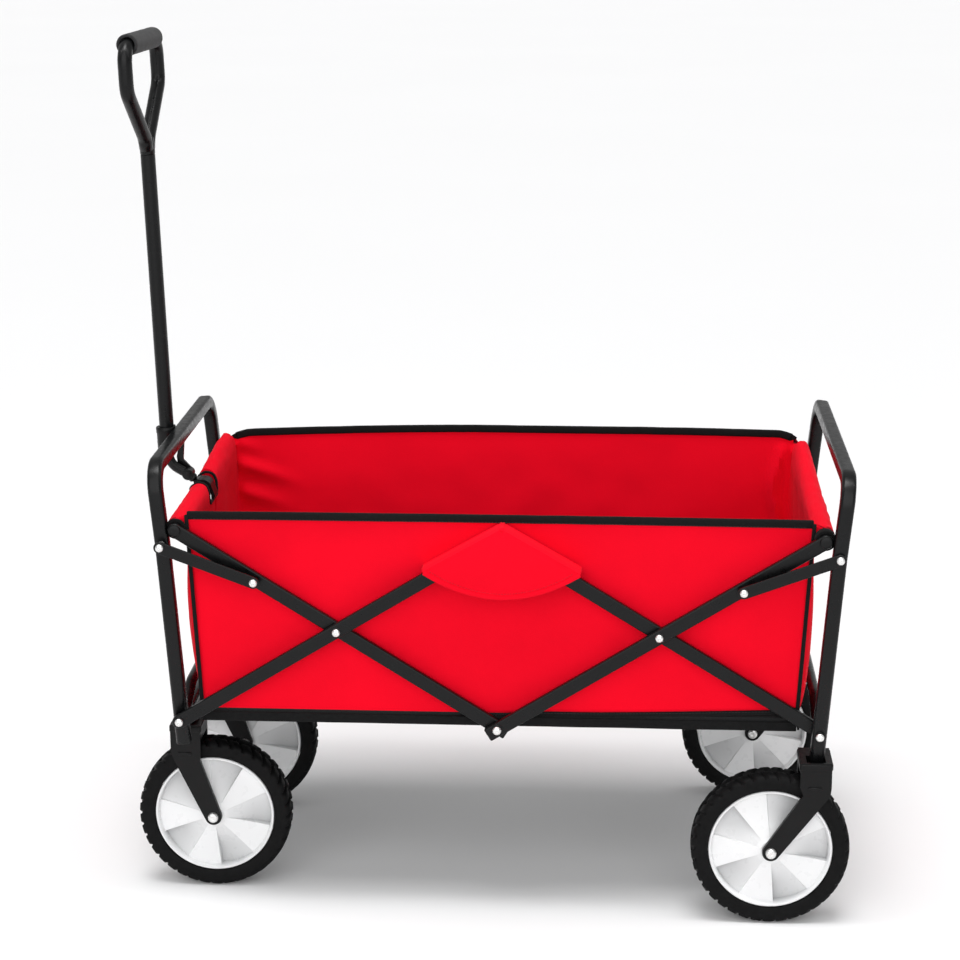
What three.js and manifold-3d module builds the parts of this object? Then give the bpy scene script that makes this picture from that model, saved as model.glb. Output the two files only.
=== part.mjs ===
// Folding wagon with a pull handle, in millimetres, +Z up, resting on z = 0.
// +X points to the rear, -X to the pull handle, and y = 0 is the plane of symmetry.
// The dimensions below count x from the plane halfway between the two end frames.
import * as THREE from "three";
import { mergeVertices } from "three/addons/utils/BufferGeometryUtils.js";
import Module from "manifold-3d";

const wasm = await Module();
wasm.setup();

// ---- driving dimensions -------------------------------------------------------------------
const GAP = 0.3;                     // clearance left between neighbouring solids
const BOX_SHIFT_X = 17.5;
const TYRE_RADIUS = 92;
const TREAD_HALF = 18;
const RIM_RADIUS = 70;
const FRONT_AXLE_X = -343;
const FRONT_TRACK = 126;             // distance of the front wheels from the plane of symmetry
const KINGPIN_X = -374;
const REAR_AXLE_X = 318;
const REAR_TRACK = 198;
const REAR_SOCKET_X = 367;

const BASE_PIVOT = [370, 232.5];     // [x, z] of the bar pivots at the foot of a post
const CROSS_PIVOT = [185, 345];      // where the two bars of a pair cross
const CENTRE_LOW_Z = 230;
const CENTRE_HIGH_Z = 460;
const END_PIVOT = [370, 461];        // centre of the tube inside a rolled basket end
const LINK_POST = [385.5, 444];      // link pivot on a post
const LINK_FRACTION = 0.2465;        // link pivot on a bar, counted from the bar's upper end

const BAR_THICK = 8;
const BAR_HALF = 8.2;
const BACK_LAYER = 196;              // middle of the bars that fall from front to rear
const FRONT_LAYER = 205;             // middle of the bars that rise from front to rear
const FRONT_POST_Y = 191.5;
const REAR_POST_Y = 209.5;
const LINK_THICK = 3;
const LINK_HALF = 7;
const FRONT_LINK_Y = 211.5;
const REAR_LINK_Y = 221;

const TUBE_R = 8.5;
const HOOP_TOP = [394, 531];
const HOOP_BEND = 30;
const CROSS_TUBE_R = 6.5;
const CROSS_TUBE_RISE = 21;
const BEAM_Z = 217;
const BEAM_R = 7.5;
const PIN_R = 3;
const PIN_HOLE_R = 3.3;
const PIN_HEAD_R = 4.6;

const PANEL_TOP_Z = { near: 483, far: 496 };
const PANEL_FOOT_Z = 248;
const PANEL_TOP_X = 357;
const PANEL_FOOT_X = 344;
const PANEL_Y = 187.5;
const CLOTH = 3;
const BOARD_Z = [237, 245.5];
const MAT_Z = [246, 252];
const SLEEVE_R = [8.4, 10.5];
const NOTCH_HALF = 28;

const HANDLE_HINGE = [-388, 478];
const HANDLE_LEAN = THREE.MathUtils.degToRad(2.05);
const LOOP_TWIST = THREE.MathUtils.degToRad(-3);
const POLE_X = -22.8;                // pole axis, counted from the hinge
const POLE_Z = [31, 390];
const POLE_R = [6.4, 8.7];
const INNER_TUBE_R = 5.9;
const INNER_TUBE_TOP = 335;
const LOOP_R = 8.4;
const LOOP_HALF = 75;
const LOOP_KNEE_Z = 474;
const GRIP_Z = 522;
const GRIP_R = 12.5;
const GRIP_HALF = 63;

// ---- materials ----------------------------------------------------------------------------
const paint = (color, roughness, metalness) =>
  new THREE.MeshStandardMaterial({ color, roughness, metalness });
const FRAME_STEEL = paint(0x1c1d1f, 0.42, 0.35);
const BRIGHT_STEEL = paint(0xd8dadc, 0.25, 1);
const BLACK_PLASTIC = paint(0x1b1b1c, 0.55, 0);
const RUBBER = paint(0x171717, 0.85, 0);
const WHITE_PLASTIC = paint(0xf2f2f2, 0.3, 0);
const RED_CLOTH = paint(0xe30a26, 0.8, 0);
const BLACK_CLOTH = paint(0x141414, 0.85, 0);
const FOAM = paint(0x1a1a1a, 0.95, 0);

// ---- building blocks ----------------------------------------------------------------------
// The origin lies on the floor under the middle of the whole wagon, handle included.
const wagon = new THREE.Group();
wagon.position.x = BOX_SHIFT_X;

function add(name, geometry, material, position = [0, 0, 0], parent = wagon) {
  const mesh = new THREE.Mesh(geometry, material);
  mesh.name = name;
  mesh.position.set(...position);
  parent.add(mesh);
  return mesh;
}

function toSolid(geometry) {
  const bare = geometry.clone();
  bare.deleteAttribute("normal");
  bare.deleteAttribute("uv");
  const welded = mergeVertices(bare, 1e-3);
  return new wasm.Manifold(new wasm.Mesh({
    numProp: 3,
    vertProperties: new Float32Array(welded.attributes.position.array),
    triVerts: new Uint32Array(welded.index.array),
  }));
}

function toGeometry(solid) {
  const mesh = solid.getMesh();
  const geometry = new THREE.BufferGeometry();
  geometry.setAttribute("position", new THREE.BufferAttribute(mesh.vertProperties, 3));
  geometry.setIndex(new THREE.BufferAttribute(mesh.triVerts, 1));
  geometry.computeVertexNormals();
  return geometry;
}

const join = (first, ...rest) => toGeometry(rest.reduce((sum, g) => sum.add(toSolid(g)), toSolid(first)));
const cut = (first, ...rest) => toGeometry(rest.reduce((sum, g) => sum.subtract(toSolid(g)), toSolid(first)));

// A box given by its lowest and highest corner.
function box(low, high) {
  const size = high.map((v, i) => v - low[i]);
  const middle = high.map((v, i) => (v + low[i]) / 2);
  return new THREE.BoxGeometry(...size).translate(...middle);
}

// A round bar along Y between two values of y.
function rodY(radius, yLow, yHigh, [x, z] = [0, 0], sides = 16) {
  const rod = new THREE.CylinderGeometry(radius, radius, yHigh - yLow, sides);
  return rod.translate(x, (yLow + yHigh) / 2, z);
}

// A ring or shaft turned about the Y axis, from a closed [radius, y] outline or one that
// starts and ends on the axis.
function turned(outline, sides = 36) {
  return new THREE.LatheGeometry(outline.map(([r, y]) => new THREE.Vector2(r, y)), sides);
}

// A plate drawn in the XZ plane and centred on y = 0.
function plate(shape, thickness, bevel = 0, curveSegments = 10) {
  const flat = new THREE.ExtrudeGeometry(shape, {
    depth: thickness - 2 * bevel,
    bevelEnabled: bevel > 0,
    bevelThickness: bevel,
    bevelSize: bevel,
    bevelOffset: -bevel,
    bevelSegments: 1,
    curveSegments,
  });
  return flat.rotateX(Math.PI / 2).translate(0, (thickness - 2 * bevel) / 2, 0);
}

// A route through corners that are rounded to a radius: straight runs take one step and each
// bend takes several.
class Route extends THREE.Curve {
  constructor(corners, bendRadius, bendSteps = 4) {
    super();
    this.points = [corners[0]];
    for (let i = 1; i < corners.length - 1; i++) {
      const back = corners[i - 1].clone().sub(corners[i]).normalize();
      const ahead = corners[i + 1].clone().sub(corners[i]).normalize();
      const half = back.angleTo(ahead) / 2;
      const reach = Math.min(bendRadius / Math.tan(half), corners[i].distanceTo(corners[i - 1]) * 0.49);
      const start = corners[i].clone().addScaledVector(back, reach);
      const end = corners[i].clone().addScaledVector(ahead, reach);
      const bend = new THREE.QuadraticBezierCurve3(start, corners[i], end);
      this.points.push(...bend.getPoints(half > 1.4 ? 1 : bendSteps));
    }
    this.points.push(corners.at(-1));
  }

  getPoint(t) {
    const place = t * (this.points.length - 1);
    const i = Math.min(Math.floor(place), this.points.length - 2);
    return this.points[i].clone().lerp(this.points[i + 1], place - i);
  }

  getPointAt(u) {
    return this.getPoint(u);
  }

  getTangentAt(u) {
    const last = this.points.length - 1;
    const i = Math.round(u * last);
    const before = this.points[Math.max(i - 1, 0)];
    const after = this.points[Math.min(i + 1, last)];
    return after.clone().sub(before).normalize();
  }

  getSpacedPoints() {
    return this.points.map((p) => p.clone());
  }
}

function bentRod(corners, radius, bendRadius, sides = 10) {
  const route = new Route(corners.map((c) => new THREE.Vector3(...c)), bendRadius);
  const section = new THREE.Shape().absarc(0, 0, radius, 0, 2 * Math.PI);
  return new THREE.ExtrudeGeometry(section, {
    steps: route.points.length - 1,
    extrudePath: route,
    curveSegments: sides / 2,
  });
}

// A strip between two pivots in the XZ plane. An end with an overhang is square, the other round.
function stripShape(a, b, half, overhang, holes) {
  const angle = Math.atan2(b[1] - a[1], b[0] - a[0]);
  const along = new THREE.Vector2(Math.cos(angle), Math.sin(angle));
  const across = new THREE.Vector2(-along.y, along.x).multiplyScalar(half);
  const start = new THREE.Vector2(...a);
  const shape = new THREE.Shape();
  if (overhang > 0) {
    const tip = start.addScaledVector(along, -overhang);
    shape.moveTo(tip.x + across.x, tip.y + across.y);
    shape.lineTo(tip.x - across.x, tip.y - across.y);
  } else {
    shape.absarc(...a, half, angle + Math.PI / 2, angle + (Math.PI * 3) / 2);
  }
  shape.absarc(...b, half, angle - Math.PI / 2, angle + Math.PI / 2);
  shape.closePath();
  for (const hole of holes) {
    shape.holes.push(new THREE.Path().absarc(...hole, PIN_HOLE_R, 0, 2 * Math.PI, true));
  }
  return shape;
}

const mirrorX = (p, sign) => [p[0] * sign, p[1]];
const SIDES = { near: -1, far: 1 };

// ---- folding bars and links ---------------------------------------------------------------
const centreLow = [0, CENTRE_LOW_Z];
const centreHigh = [0, CENTRE_HIGH_Z];

function barGeometry(from, to, overhang, crossing) {
  const shape = stripShape(from, to, BAR_HALF, overhang, [from, to, crossing]);
  return plate(shape, BAR_THICK, 1.6, 4);
}

function linkGeometry(sign) {
  const post = mirrorX(LINK_POST, sign);
  const end = mirrorX(END_PIVOT, sign);
  const onBar = end.map((v, i) => v + (centreLow[i] - v) * LINK_FRACTION);
  return plate(stripShape(post, onBar, LINK_HALF, 0, []), LINK_THICK, 0.8, 4);
}

const BAR_OVERHANG = 13;
for (const [side, y] of Object.entries(SIDES)) {
  const back = [0, y * BACK_LAYER, 0];
  const front = [0, y * FRONT_LAYER, 0];
  for (const [end, sign] of [["front", -1], ["rear", 1]]) {
    const crossing = mirrorX(CROSS_PIVOT, sign);
    const rising = sign < 0 ? front : back;
    const falling = sign < 0 ? back : front;
    const base = barGeometry(mirrorX(BASE_PIVOT, sign), centreHigh, 0, crossing);
    const top = barGeometry(centreLow, mirrorX(END_PIVOT, sign), BAR_OVERHANG, crossing);
    add(`${end}_base_bar_${side}`, base, FRAME_STEEL, rising);
    add(`${end}_top_bar_${side}`, top, FRAME_STEEL, falling);
    const linkY = sign < 0 ? FRONT_LINK_Y : REAR_LINK_Y;
    add(`${end}_link_${side}`, linkGeometry(sign), FRAME_STEEL, [0, y * linkY, 0]);
  }
}

// A rivet through both bar layers, with a head on each side.
function rivetGeometry(side) {
  const inner = BACK_LAYER - BAR_THICK / 2 - GAP;
  const outer = FRONT_LAYER + BAR_THICK / 2 + GAP;
  return turned([
    [0, inner - 2], [PIN_HEAD_R, inner - 1.6], [PIN_HEAD_R, inner], [PIN_R, inner],
    [PIN_R, outer], [PIN_HEAD_R, outer], [PIN_HEAD_R - 0.6, outer + 1.6], [0, outer + 2.6],
  ], 10).rotateZ(side < 0 ? Math.PI : 0);
}

for (const [side, y] of Object.entries(SIDES)) {
  const places = {
    front_cross_rivet: mirrorX(CROSS_PIVOT, -1),
    rear_cross_rivet: CROSS_PIVOT,
    top_centre_rivet: centreHigh,
  };
  for (const [name, [x, z]] of Object.entries(places)) {
    add(`${name}_${side}`, rivetGeometry(y), BRIGHT_STEEL, [x, 0, z]);
  }
}

// A cross tube that ends in a spigot through the bars on both sides, with a head outside.
function spigotTube(tubeR, spigotR, innerFace, outerFace, headR) {
  const half = [
    [0, outerFace + GAP + 2.4], [headR, outerFace + GAP + 1.6], [headR, outerFace + GAP],
    [spigotR, outerFace + GAP], [spigotR, innerFace - GAP], [tubeR, innerFace - GAP],
  ];
  const other = half.map(([r, y]) => [r, -y]);
  return turned([...other, ...half.reverse()], 12);
}

const backInner = BACK_LAYER - BAR_THICK / 2;
const backOuter = BACK_LAYER + BAR_THICK / 2;
const frontOuter = FRONT_LAYER + BAR_THICK / 2;
add("bottom_centre_tube", spigotTube(CROSS_TUBE_R, PIN_R, backInner, frontOuter, PIN_HEAD_R), FRAME_STEEL,
  [0, 0, CENTRE_LOW_Z]);
add("front_end_tube", spigotTube(8, PIN_R, backInner, backOuter, 7), FRAME_STEEL,
  [-END_PIVOT[0], 0, END_PIVOT[1]]);
add("rear_end_tube", spigotTube(8, PIN_R, FRONT_LAYER - BAR_THICK / 2, frontOuter, 7), FRAME_STEEL,
  [END_PIVOT[0], 0, END_PIVOT[1]]);

// ---- end frames ---------------------------------------------------------------------------
// Centre line of a post at height z: it leans outwards and bends where the link is pinned.
const POST_LEAN = (LINK_POST[0] - BASE_PIVOT[0]) / (LINK_POST[1] - BASE_PIVOT[1]);
const postX = (z) => LINK_POST[0] + (z - LINK_POST[1]) * POST_LEAN;

function hoopGeometry(sign, postY, footZ) {
  const halfRoute = [
    [sign * postX(footZ), -postY, footZ],
    [sign * LINK_POST[0], -postY, LINK_POST[1]],
    [sign * HOOP_TOP[0], -postY, HOOP_TOP[1]],
  ];
  const otherHalf = halfRoute.map(([x, y, z]) => [x, -y, z]).reverse();
  const hoop = bentRod([...halfRoute, ...otherHalf], TUBE_R, HOOP_BEND);
  return cut(hoop, rodY(PIN_HOLE_R, -postY - 20, postY + 20, mirrorX(BASE_PIVOT, sign)));
}

// The tube between the feet of the two posts, whose spigots are the pivots of the base bars.
function crossTubeGeometry(sign, innerFace, outerFace) {
  const [x, z] = mirrorX(BASE_PIVOT, sign);
  const end = innerFace - GAP;
  const halfRoute = [
    [x, -end, z],
    [x, -end + 22, z],
    [x, -end + 60, z + CROSS_TUBE_RISE],
  ];
  const otherHalf = halfRoute.map(([px, py, pz]) => [px, -py, pz]).reverse();
  const tube = bentRod([...halfRoute, ...otherHalf], CROSS_TUBE_R, 30);
  const spigots = [];
  for (const y of [-1, 1]) {
    const reach = [end - 1, outerFace + GAP + 1].map((v) => v * y).sort((a, b) => a - b);
    const head = [outerFace + GAP, outerFace + GAP + 2].map((v) => v * y).sort((a, b) => a - b);
    spigots.push(rodY(PIN_R, ...reach, [x, z]), rodY(PIN_HEAD_R, ...head, [x, z]));
  }
  return join(tube, ...spigots);
}

const FRONT_FOOT_Z = 202;
const REAR_FOOT_Z = 189.5;
add("front_hoop", hoopGeometry(-1, FRONT_POST_Y, FRONT_FOOT_Z), FRAME_STEEL);
add("rear_hoop", hoopGeometry(1, REAR_POST_Y, REAR_FOOT_Z), FRAME_STEEL);
add("front_cross_tube", crossTubeGeometry(-1, FRONT_POST_Y - TUBE_R, frontOuter), FRAME_STEEL);
add("rear_cross_tube", crossTubeGeometry(1, backInner, REAR_POST_Y + TUBE_R), FRAME_STEEL);

// ---- forks, wheels and axles --------------------------------------------------------------
const FORK_HALF_X = 18;
const FORK_HALF_Y = 26;
const FORK_SLOT = 20.5;
const FORK_SHOULDER_Z = 169;
const FORK_CROWN_Z = 188;
const EYE_R = 10;
const AXLE_R = 5;
const AXLE_HOLE_R = 5.4;
const KINGPIN_R = 6;

// A fork with its stem on x = 0, y = 0 and its axle eye at x = trail. Its legs lie either side
// of the wheel, and its top is a box.
function forkBody(trail, topZ) {
  const leg = Math.atan2(TYRE_RADIUS - FORK_SHOULDER_Z, trail);
  const shape = new THREE.Shape();
  shape.moveTo(-FORK_HALF_X, topZ);
  shape.lineTo(-FORK_HALF_X, FORK_SHOULDER_Z + 4);
  shape.lineTo(-FORK_HALF_X + 4, FORK_SHOULDER_Z - 6);
  shape.absarc(trail, TYRE_RADIUS, EYE_R, leg - Math.PI / 2, leg + Math.PI / 2);
  shape.lineTo(FORK_HALF_X - 1, FORK_SHOULDER_Z - 6);
  shape.lineTo(FORK_HALF_X, FORK_SHOULDER_Z + 4);
  shape.lineTo(FORK_HALF_X, topZ);
  shape.closePath();
  const slot = box([-90, -FORK_SLOT, 40], [90, FORK_SLOT, FORK_CROWN_Z]);
  return [plate(shape, 2 * FORK_HALF_Y, 0, 7), slot, rodY(AXLE_HOLE_R, -60, 60, [trail, TYRE_RADIUS])];
}

function axleGeometry() {
  const face = FORK_HALF_Y + GAP;
  const half = [[0, face + 5], [4.5, face + 4.4], [6.4, face + 2.4], [6.4, face], [AXLE_R, face]];
  const other = half.map(([r, y]) => [r, -y]);
  return turned([...other, ...half.reverse()], 12);
}

const rimHalf = [[5.6, -19], [13, -19], [60, -7], [63, -15.5], [RIM_RADIUS, -15.5]];
const rimGeometry = () => {
  const other = rimHalf.map(([r, y]) => [r, -y]).reverse();
  return turned([...rimHalf, ...other, rimHalf[0]], 32);
};

// The tread is flat between its facets' edges, so that a facet, not an edge, meets the floor.
const TYRE_SIDES = 32;
const TREAD_CORNER_R = TYRE_RADIUS / Math.cos(Math.PI / TYRE_SIDES);
const tyreHalf = [[RIM_RADIUS + 0.7, -15.5], [77, -TREAD_HALF], [87, -TREAD_HALF + 1], [TREAD_CORNER_R, -9]];
const tyreGeometry = () => {
  const other = tyreHalf.map(([r, y]) => [r, -y]).reverse();
  return turned([...tyreHalf, ...other, tyreHalf[0]], TYRE_SIDES).rotateY(Math.PI / TYRE_SIDES);
};

const KINGPIN_HOLE_R = KINGPIN_R + GAP;
const FRONT_FORK_TOP = 208;
const REAR_FORK_TOP = 203;

function frontForkGeometry() {
  const [body, ...cuts] = forkBody(FRONT_AXLE_X - KINGPIN_X, FRONT_FORK_TOP);
  const recess = box([-14, -22, FRONT_FORK_TOP - 6], [14, 22, FRONT_FORK_TOP + 5]);
  const bore = new THREE.CylinderGeometry(KINGPIN_HOLE_R, KINGPIN_HOLE_R, 60, 20)
    .rotateX(Math.PI / 2).translate(0, 0, FORK_CROWN_Z);
  return cut(body, ...cuts, recess, bore);
}

function rearForkGeometry(side) {
  const [body, ...cuts] = forkBody(REAR_AXLE_X - REAR_SOCKET_X, REAR_FORK_TOP);
  const middle = side * (REAR_POST_Y - REAR_TRACK);
  const socket = box([-11, middle - 11, REAR_FOOT_Z - 1], [11, middle + 11, REAR_FORK_TOP + 5]);
  return cut(body, ...cuts, socket);
}

for (const [side, y] of Object.entries(SIDES)) {
  const frontPlace = [KINGPIN_X, y * FRONT_TRACK, 0];
  const rearPlace = [REAR_SOCKET_X, y * REAR_TRACK, 0];
  add(`front_fork_${side}`, frontForkGeometry(), BLACK_PLASTIC, frontPlace);
  add(`rear_fork_${side}`, rearForkGeometry(y), BLACK_PLASTIC, rearPlace);
  for (const [end, x, track] of [["front", FRONT_AXLE_X, FRONT_TRACK], ["rear", REAR_AXLE_X, REAR_TRACK]]) {
    const centre = [x, y * track, TYRE_RADIUS];
    add(`${end}_axle_${side}`, axleGeometry(), BRIGHT_STEEL, centre);
    add(`${end}_rim_${side}`, rimGeometry(), WHITE_PLASTIC, centre);
    add(`${end}_tyre_${side}`, tyreGeometry(), RUBBER, centre);
  }
}

// The beam between the front posts carries both kingpins.
function frontBeamGeometry() {
  const reach = FRONT_POST_Y - TUBE_R - GAP;
  const beam = rodY(BEAM_R, -reach, reach, [KINGPIN_X, BEAM_Z], 20);
  const low = FORK_CROWN_Z + GAP;
  const kingpins = Object.values(SIDES).map((y) =>
    new THREE.CylinderGeometry(KINGPIN_R, KINGPIN_R, BEAM_Z - low, 20)
      .rotateX(Math.PI / 2).translate(KINGPIN_X, y * FRONT_TRACK, (BEAM_Z + low) / 2));
  return join(beam, ...kingpins);
}
add("front_beam", frontBeamGeometry(), FRAME_STEEL);

// ---- basket -------------------------------------------------------------------------------
function sidePanelGeometry(top) {
  const shape = new THREE.Shape();
  shape.moveTo(-PANEL_TOP_X, top);
  shape.lineTo(-PANEL_FOOT_X, PANEL_FOOT_Z);
  shape.lineTo(PANEL_FOOT_X, PANEL_FOOT_Z);
  shape.lineTo(PANEL_TOP_X, top);
  shape.closePath();
  return plate(shape, CLOTH);
}

const END_PANEL_TOP_Z = 450;
const END_PANEL_HALF = PANEL_Y - CLOTH / 2 - GAP;

function endPanelGeometry(sign) {
  const shape = new THREE.Shape();
  const topX = END_PIVOT[0] - SLEEVE_R[1] - 10;
  shape.moveTo(sign * topX, END_PANEL_TOP_Z);
  shape.lineTo(sign * (PANEL_FOOT_X - CLOTH), PANEL_FOOT_Z);
  shape.lineTo(sign * PANEL_FOOT_X, PANEL_FOOT_Z);
  shape.lineTo(sign * (topX + CLOTH), END_PANEL_TOP_Z);
  shape.closePath();
  return plate(shape, 2 * END_PANEL_HALF);
}

// The fan-shaped flap that hides the top centre pivot.
const FLAP_HALF = 90;
const FLAP_APEX_Z = 480;
const FLAP_CORNER_Z = 418;
const FLAP_FOOT_Z = 390;
const FLAP_Y = 213;

function flapGeometry() {
  const shape = new THREE.Shape();
  shape.moveTo(0, FLAP_APEX_Z);
  shape.lineTo(-FLAP_HALF, FLAP_CORNER_Z);
  shape.quadraticCurveTo(0, 2 * FLAP_FOOT_Z - FLAP_CORNER_Z, FLAP_HALF, FLAP_CORNER_Z);
  shape.closePath();
  return plate(shape, 2, 0, 8);
}

for (const [side, y] of Object.entries(SIDES)) {
  add(`${side}_panel`, sidePanelGeometry(PANEL_TOP_Z[side]), RED_CLOTH, [0, y * PANEL_Y, 0]);
  add(`${side}_flap`, flapGeometry(), RED_CLOTH, [4, y * FLAP_Y, 0]);
}
add("front_panel", endPanelGeometry(-1), RED_CLOTH);
add("rear_panel", endPanelGeometry(1), RED_CLOTH);

const FLOOR_HALF = [PANEL_FOOT_X - 1, PANEL_Y + CLOTH / 2];
const MAT_HALF = [PANEL_FOOT_X - CLOTH - 3, END_PANEL_HALF - 2];
add("floor_board", box([-FLOOR_HALF[0], -FLOOR_HALF[1], BOARD_Z[0]], [...FLOOR_HALF, BOARD_Z[1]]), BLACK_CLOTH);
add("floor_mat", box([-MAT_HALF[0], -MAT_HALF[1], MAT_Z[0]], [...MAT_HALF, MAT_Z[1]]), BLACK_CLOTH);

// ---- rolled ends and the handle saddle ----------------------------------------------------
const SLEEVE_HALF = PANEL_Y - CLOTH / 2 - 1;

function sleeveGeometry() {
  const [inner, outer] = SLEEVE_R;
  const outline = [[inner, -SLEEVE_HALF], [outer, -SLEEVE_HALF], [outer, SLEEVE_HALF], [inner, SLEEVE_HALF]];
  return turned([...outline, outline[0]], 16);
}

const NOTCH_FLOOR = -3;
const notch = box([-20, -NOTCH_HALF, NOTCH_FLOOR], [20, NOTCH_HALF, 20]);
const endPlace = (sign) => [sign * END_PIVOT[0], 0, END_PIVOT[1]];
add("front_sleeve", cut(sleeveGeometry(), notch), RED_CLOTH, endPlace(-1));
add("rear_sleeve", sleeveGeometry(), RED_CLOTH, endPlace(1));

// A saddle over the front end tube: a nose towards the handle and a tongue inside the basket.
const SADDLE_R = 12.5;
function saddleGeometry() {
  const shape = new THREE.Shape();
  const inner = 8 + GAP + 0.1;
  const base = NOTCH_FLOOR + 1;
  shape.moveTo(-9.5, 3);
  shape.lineTo(-10, 10);
  shape.lineTo(-4, SADDLE_R);
  shape.absarc(0, 0, SADDLE_R, 1.8, 0.5, true);
  shape.lineTo(16, -8);
  shape.lineTo(11, -19);
  shape.lineTo(11, base);
  shape.lineTo(inner, base);
  shape.absarc(0, 0, inner, 0, Math.PI - 0.35);
  shape.closePath();
  return plate(shape, 22, 0, 6);
}
add("handle_saddle", saddleGeometry(), BLACK_PLASTIC, endPlace(-1));

// ---- pull handle --------------------------------------------------------------------------
// Everything here is drawn upright from the hinge, then leans outwards about it.
const handle = new THREE.Group();
handle.position.set(HANDLE_HINGE[0], 0, HANDLE_HINGE[1]);
handle.rotation.y = -HANDLE_LEAN;
wagon.add(handle);

const HINGE_EYE_R = 7;
const INNER_ROUTE = [[0, 0, 0], [POLE_X, 0, 13], [POLE_X, 0, INNER_TUBE_TOP]];

function innerTubeGeometry() {
  const tube = bentRod(INNER_ROUTE, INNER_TUBE_R, 22);
  const eye = rodY(HINGE_EYE_R, -6, 6);
  return cut(join(tube, eye), rodY(PIN_HOLE_R, -20, 20));
}
add("handle_inner_tube", innerTubeGeometry(), FRAME_STEEL, [0, 0, 0], handle);

function poleGeometry() {
  const [inner, outer] = POLE_R;
  const [low, high] = POLE_Z;
  const outline = [[inner, low], [outer, low], [outer, high], [inner, high]];
  return turned([...outline, outline[0]], 16).rotateX(Math.PI / 2);
}
add("handle_pole", poleGeometry(), FRAME_STEEL, [POLE_X, 0, 0], handle);

// The collar is flat on the side that rests against the front hoop.
const COLLAR_R = 13;
const COLLAR_FLAT_X = 9.7;
function collarGeometry() {
  const inner = POLE_R[1] + GAP;
  const [low, high] = [POLE_Z[0] - 1, POLE_Z[0] + 29];
  const outline = [[inner, low], [COLLAR_R - 1, low], [COLLAR_R, low + 2], [COLLAR_R, high - 6],
    [COLLAR_R - 0.8, high], [inner, high]];
  const ring = turned([...outline, outline[0]], 20).rotateX(Math.PI / 2);
  return cut(ring, box([COLLAR_FLAT_X, -COLLAR_R - 1, low - 1], [COLLAR_R + 1, COLLAR_R + 1, high + 1]));
}
add("handle_collar", collarGeometry(), BLACK_PLASTIC, [POLE_X, 0, 0], handle);

const loopGroup = new THREE.Group();
loopGroup.position.set(POLE_X, 0, 0);
loopGroup.rotation.z = LOOP_TWIST;
handle.add(loopGroup);

// The loop is two mirrored halves joined over the pole, with a spigot down into it.
const LOOP_FOOT = POLE_Z[1] + GAP;

const loopHalves = (radius) => Object.values(SIDES).map((y) => bentRod([
  [0, 0, LOOP_FOOT + 6],
  [0, y * 9, LOOP_FOOT + 20],
  [0, y * LOOP_HALF, LOOP_KNEE_Z],
  [0, y * LOOP_HALF, GRIP_Z],
  [0, 0, GRIP_Z],
], radius, 16));

function uprightRod(radius, low, high) {
  return new THREE.CylinderGeometry(radius, radius, high - low, 16)
    .rotateX(Math.PI / 2).translate(0, 0, (low + high) / 2);
}

function loopGeometry() {
  const throat = uprightRod(LOOP_R + 0.6, LOOP_FOOT, LOOP_FOOT + 22);
  const spigot = uprightRod(POLE_R[0] - GAP, LOOP_FOOT - 41, LOOP_FOOT + 1);
  return join(...loopHalves(LOOP_R), throat, spigot);
}
add("handle_loop", loopGeometry(), FRAME_STEEL, [0, 0, 0], loopGroup);

// The foam sleeve is bored to the loop, which leaves it at both ends and bends down.
function gripGeometry() {
  const half = [[0, GRIP_HALF], [GRIP_R - 3, GRIP_HALF], [GRIP_R, GRIP_HALF - 3]];
  const other = half.map(([r, y]) => [r, -y]);
  const foam = turned([...other, ...half.reverse()], 20).translate(0, 0, GRIP_Z);
  return cut(foam, ...loopHalves(LOOP_R + GAP));
}
add("handle_grip", gripGeometry(), FOAM, [0, 0, 0], loopGroup);

// The hinge pin, and the bracket that hangs it from the front hoop.
function hingePinGeometry() {
  const [low, high] = [-6 - GAP, 11 + GAP];
  return turned([
    [0, low - 2], [PIN_HEAD_R, low - 1.6], [PIN_HEAD_R, low], [PIN_R, low],
    [PIN_R, high], [PIN_HEAD_R, high], [PIN_HEAD_R, high + 1.6], [0, high + 2],
  ], 10);
}
add("handle_hinge_pin", hingePinGeometry(), BRIGHT_STEEL, [HANDLE_HINGE[0], 0, HANDLE_HINGE[1]]);

function bracketGeometry() {
  const [x, z] = HANDLE_HINGE;
  const underHoop = HOOP_TOP[1] - TUBE_R - GAP;
  const shape = new THREE.Shape();
  shape.moveTo(-HOOP_TOP[0] + 1, underHoop);
  shape.lineTo(-HOOP_TOP[0] - 4, underHoop);
  shape.lineTo(x - 15, z + 20);
  shape.lineTo(x - 13, z + 1);
  shape.absarc(x, z, HINGE_EYE_R - 0.5, Math.PI + 0.6, 2 * Math.PI + 1.2);
  shape.lineTo(x - 7, z + 16);
  shape.closePath();
  shape.holes.push(new THREE.Path().absarc(x, z, PIN_HOLE_R, 0, 2 * Math.PI, true));
  return plate(shape, 4, 0, 5);
}
add("handle_bracket", bracketGeometry(), FRAME_STEEL, [0, 9, 0]);

export default wagon;
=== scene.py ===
from math import atan2, ceil, cos, exp, hypot, pi, radians, sin, tan

import bmesh
import bpy
from mathutils import Matrix, Vector, noise


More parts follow.
